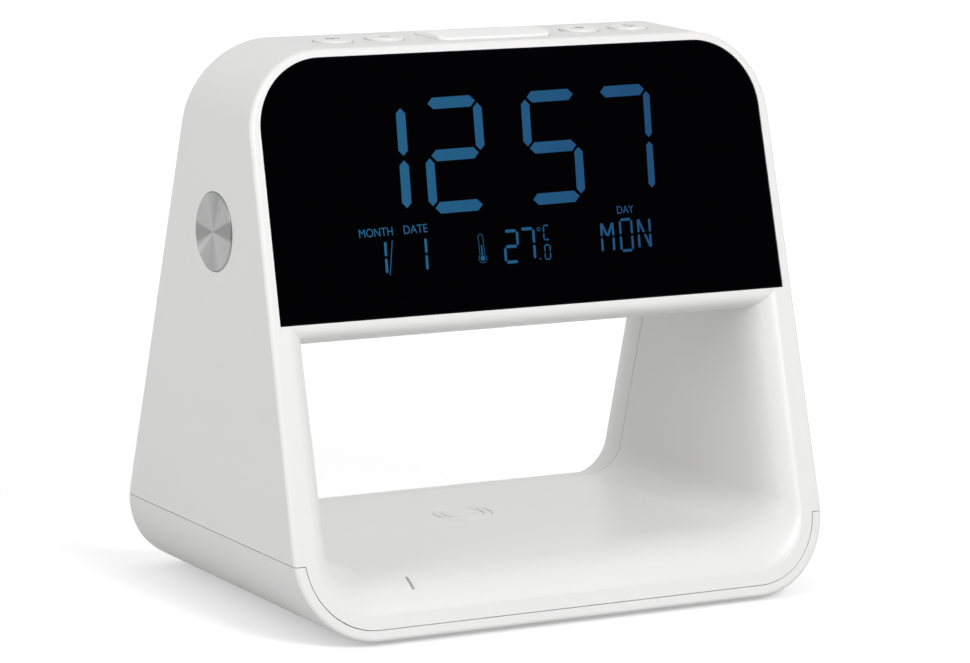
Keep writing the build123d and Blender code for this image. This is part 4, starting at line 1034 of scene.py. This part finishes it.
def build_lamps(scene, look):
    """A large soft lamp in front and weaker ones at the left and behind, all aimed at the clock."""
    for name, place, size in LAMPS:
        data = bpy.data.lights.new(f"{name}_lamp", "AREA")
        data.shape = "DISK"
        data.size = size
        data.energy = getattr(look, f"{name}_watts")
        lamp = bpy.data.objects.new(f"{name}_lamp", data)
        lamp.visible_glossy = name != "back"
        scene.collection.objects.link(lamp)
        lamp.location = place
        lamp.rotation_euler = (Vector(LAMP_AIM) - Vector(place)).to_track_quat("-Z", "Y").to_euler()


FLOOR_SEEN = 0.86          # the floor's colour as the camera sees it
FLOOR_BOUNCE = 0.62        # and as the clock gets its light back
FLOOR_GAP = 0.0002         # the floor lies this far under the feet, in metres
FLOOR_HALF = 3.0           # and reaches this far to each side
PAINTED_SHADE_REACH = 0.03       # how far the painted shade round the clock's foot spreads, in metres
PAINTED_SHADE_DEPTH = 0.2        # and how dark the painted shade gets


def lamp_glow(tree, position, place, watts):
    """Light that a lamp sends off the floor.

    It is the floor's colour times the watts times the lamp's height, over pi squared and over the
    distance cubed.
    """
    away = add_node(tree, "ShaderNodeVectorMath", operation="DISTANCE", in_Vector=position)
    away.inputs[1].default_value = place
    return math(tree, "DIVIDE", FLOOR_SEEN * watts * place[2] / pi ** 2,
                math(tree, "POWER", away.outputs["Value"], 3.0))


def build_floor(scene, look):
    """A floor that looks white to the camera where nothing shades it, and keeps the clock's shadow.

    Its own light is what the sky and the two front lamps leave short of white at each place. Round the foot
    a painted shade from an Ambient Occlusion node darkens its own light and its colour, and so the light it
    sends back.
    """
    mesh = bpy.data.meshes.new("floor")
    corners = [(x * FLOOR_HALF, y * FLOOR_HALF, -FLOOR_GAP) for x, y in ((-1, -1), (1, -1), (1, 1), (-1, 1))]
    mesh.from_pydata(corners, [], [(0, 1, 2, 3)])
    floor = bpy.data.objects.new("floor", mesh)
    scene.collection.objects.link(floor)
    material, tree, shader, position = new_material("floor_white", Roughness=0.9, Specular_IOR_Level=0.0)
    path = add_node(tree, "ShaderNodeLightPath").outputs
    seen = math(tree, "MAXIMUM", path["Is Camera Ray"], path["Is Glossy Ray"])
    # painted shade round the foot: darker where the Ambient Occlusion node finds the clock close by
    painted_shade_ao = add_node(tree, "ShaderNodeAmbientOcclusion", samples=16, in_Distance=PAINTED_SHADE_REACH)
    painted_shade_open = math(tree, "MULTIPLY", painted_shade_ao.outputs["AO"], PAINTED_SHADE_DEPTH)
    painted_contact_shade = math(tree, "ADD", 1.0 - PAINTED_SHADE_DEPTH, painted_shade_open)
    shade = mix_colour(tree, path["Is Camera Ray"], (FLOOR_BOUNCE,) * 3, (FLOOR_SEEN,) * 3)
    short = look.floor_white - FLOOR_SEEN * look.sky
    for name, place, _ in FRONT_LAMPS:
        glow = lamp_glow(tree, position, place, getattr(look, f"{name}_watts"))
        short = math(tree, "SUBTRACT", short, glow)
    fill(tree, shader, Base_Color=mix_colour(tree, 1.0, shade, painted_contact_shade, blend="MULTIPLY"), Emission_Color=painted_contact_shade,
         Emission_Strength=math(tree, "MULTIPLY", seen, math(tree, "MAXIMUM", short, 0.0)))
    mesh.materials.append(material)


class ClockPanel(Panel):
    """Lists the clock's pieces and their sizes and colours"""

    bl_idname = "VIEW3D_PT_alarm_clock"
    bl_label = "Alarm Clock"
    bl_space_type = "VIEW_3D"
    bl_region_type = "UI"
    bl_category = "Alarm Clock"

    def draw(self, context):
        for operator in OPERATORS:
            self.layout.operator(operator.bl_idname)
        for look in LOOKS:
            group = getattr(context.scene, look)
            box = self.layout.box()
            for name in group.bl_rna.properties.keys():
                if name not in ("rna_type", "name"):
                    box.prop(group, name)


OPERATORS = (DressShell, DressKeys, PrintKeys, DressDisc, DressLens, LightDisplay, DressInside, WindCoil,
             BuildStage)
LOOKS = {"clock_shell": ShellLook, "clock_display": DisplayLook, "clock_stage": StageLook}


def register():
    """Registers the add-on's classes and the scene's settings."""
    for cls in (*LOOKS.values(), *OPERATORS, ClockPanel):
        bpy.utils.register_class(cls)
    for name, cls in LOOKS.items():
        setattr(bpy.types.Scene, name, PointerProperty(type=cls))


def unregister():
    """Takes the settings and the classes away again."""
    for name in LOOKS:
        delattr(bpy.types.Scene, name)
    for cls in (ClockPanel, *reversed(OPERATORS), *reversed(LOOKS.values())):
        bpy.utils.unregister_class(cls)


def main():
    """Builds everything in order."""
    register()
    bpy.ops.alarm_clock.build_stage()
    bpy.ops.alarm_clock.dress_shell()
    bpy.ops.alarm_clock.dress_keys()
    bpy.ops.alarm_clock.print_keys()
    bpy.ops.alarm_clock.dress_disc()
    bpy.ops.alarm_clock.dress_lens()
    bpy.ops.alarm_clock.light_display()
    bpy.ops.alarm_clock.dress_inside()
    bpy.ops.alarm_clock.wind_coil()


if __name__ == "__main__":
    main()
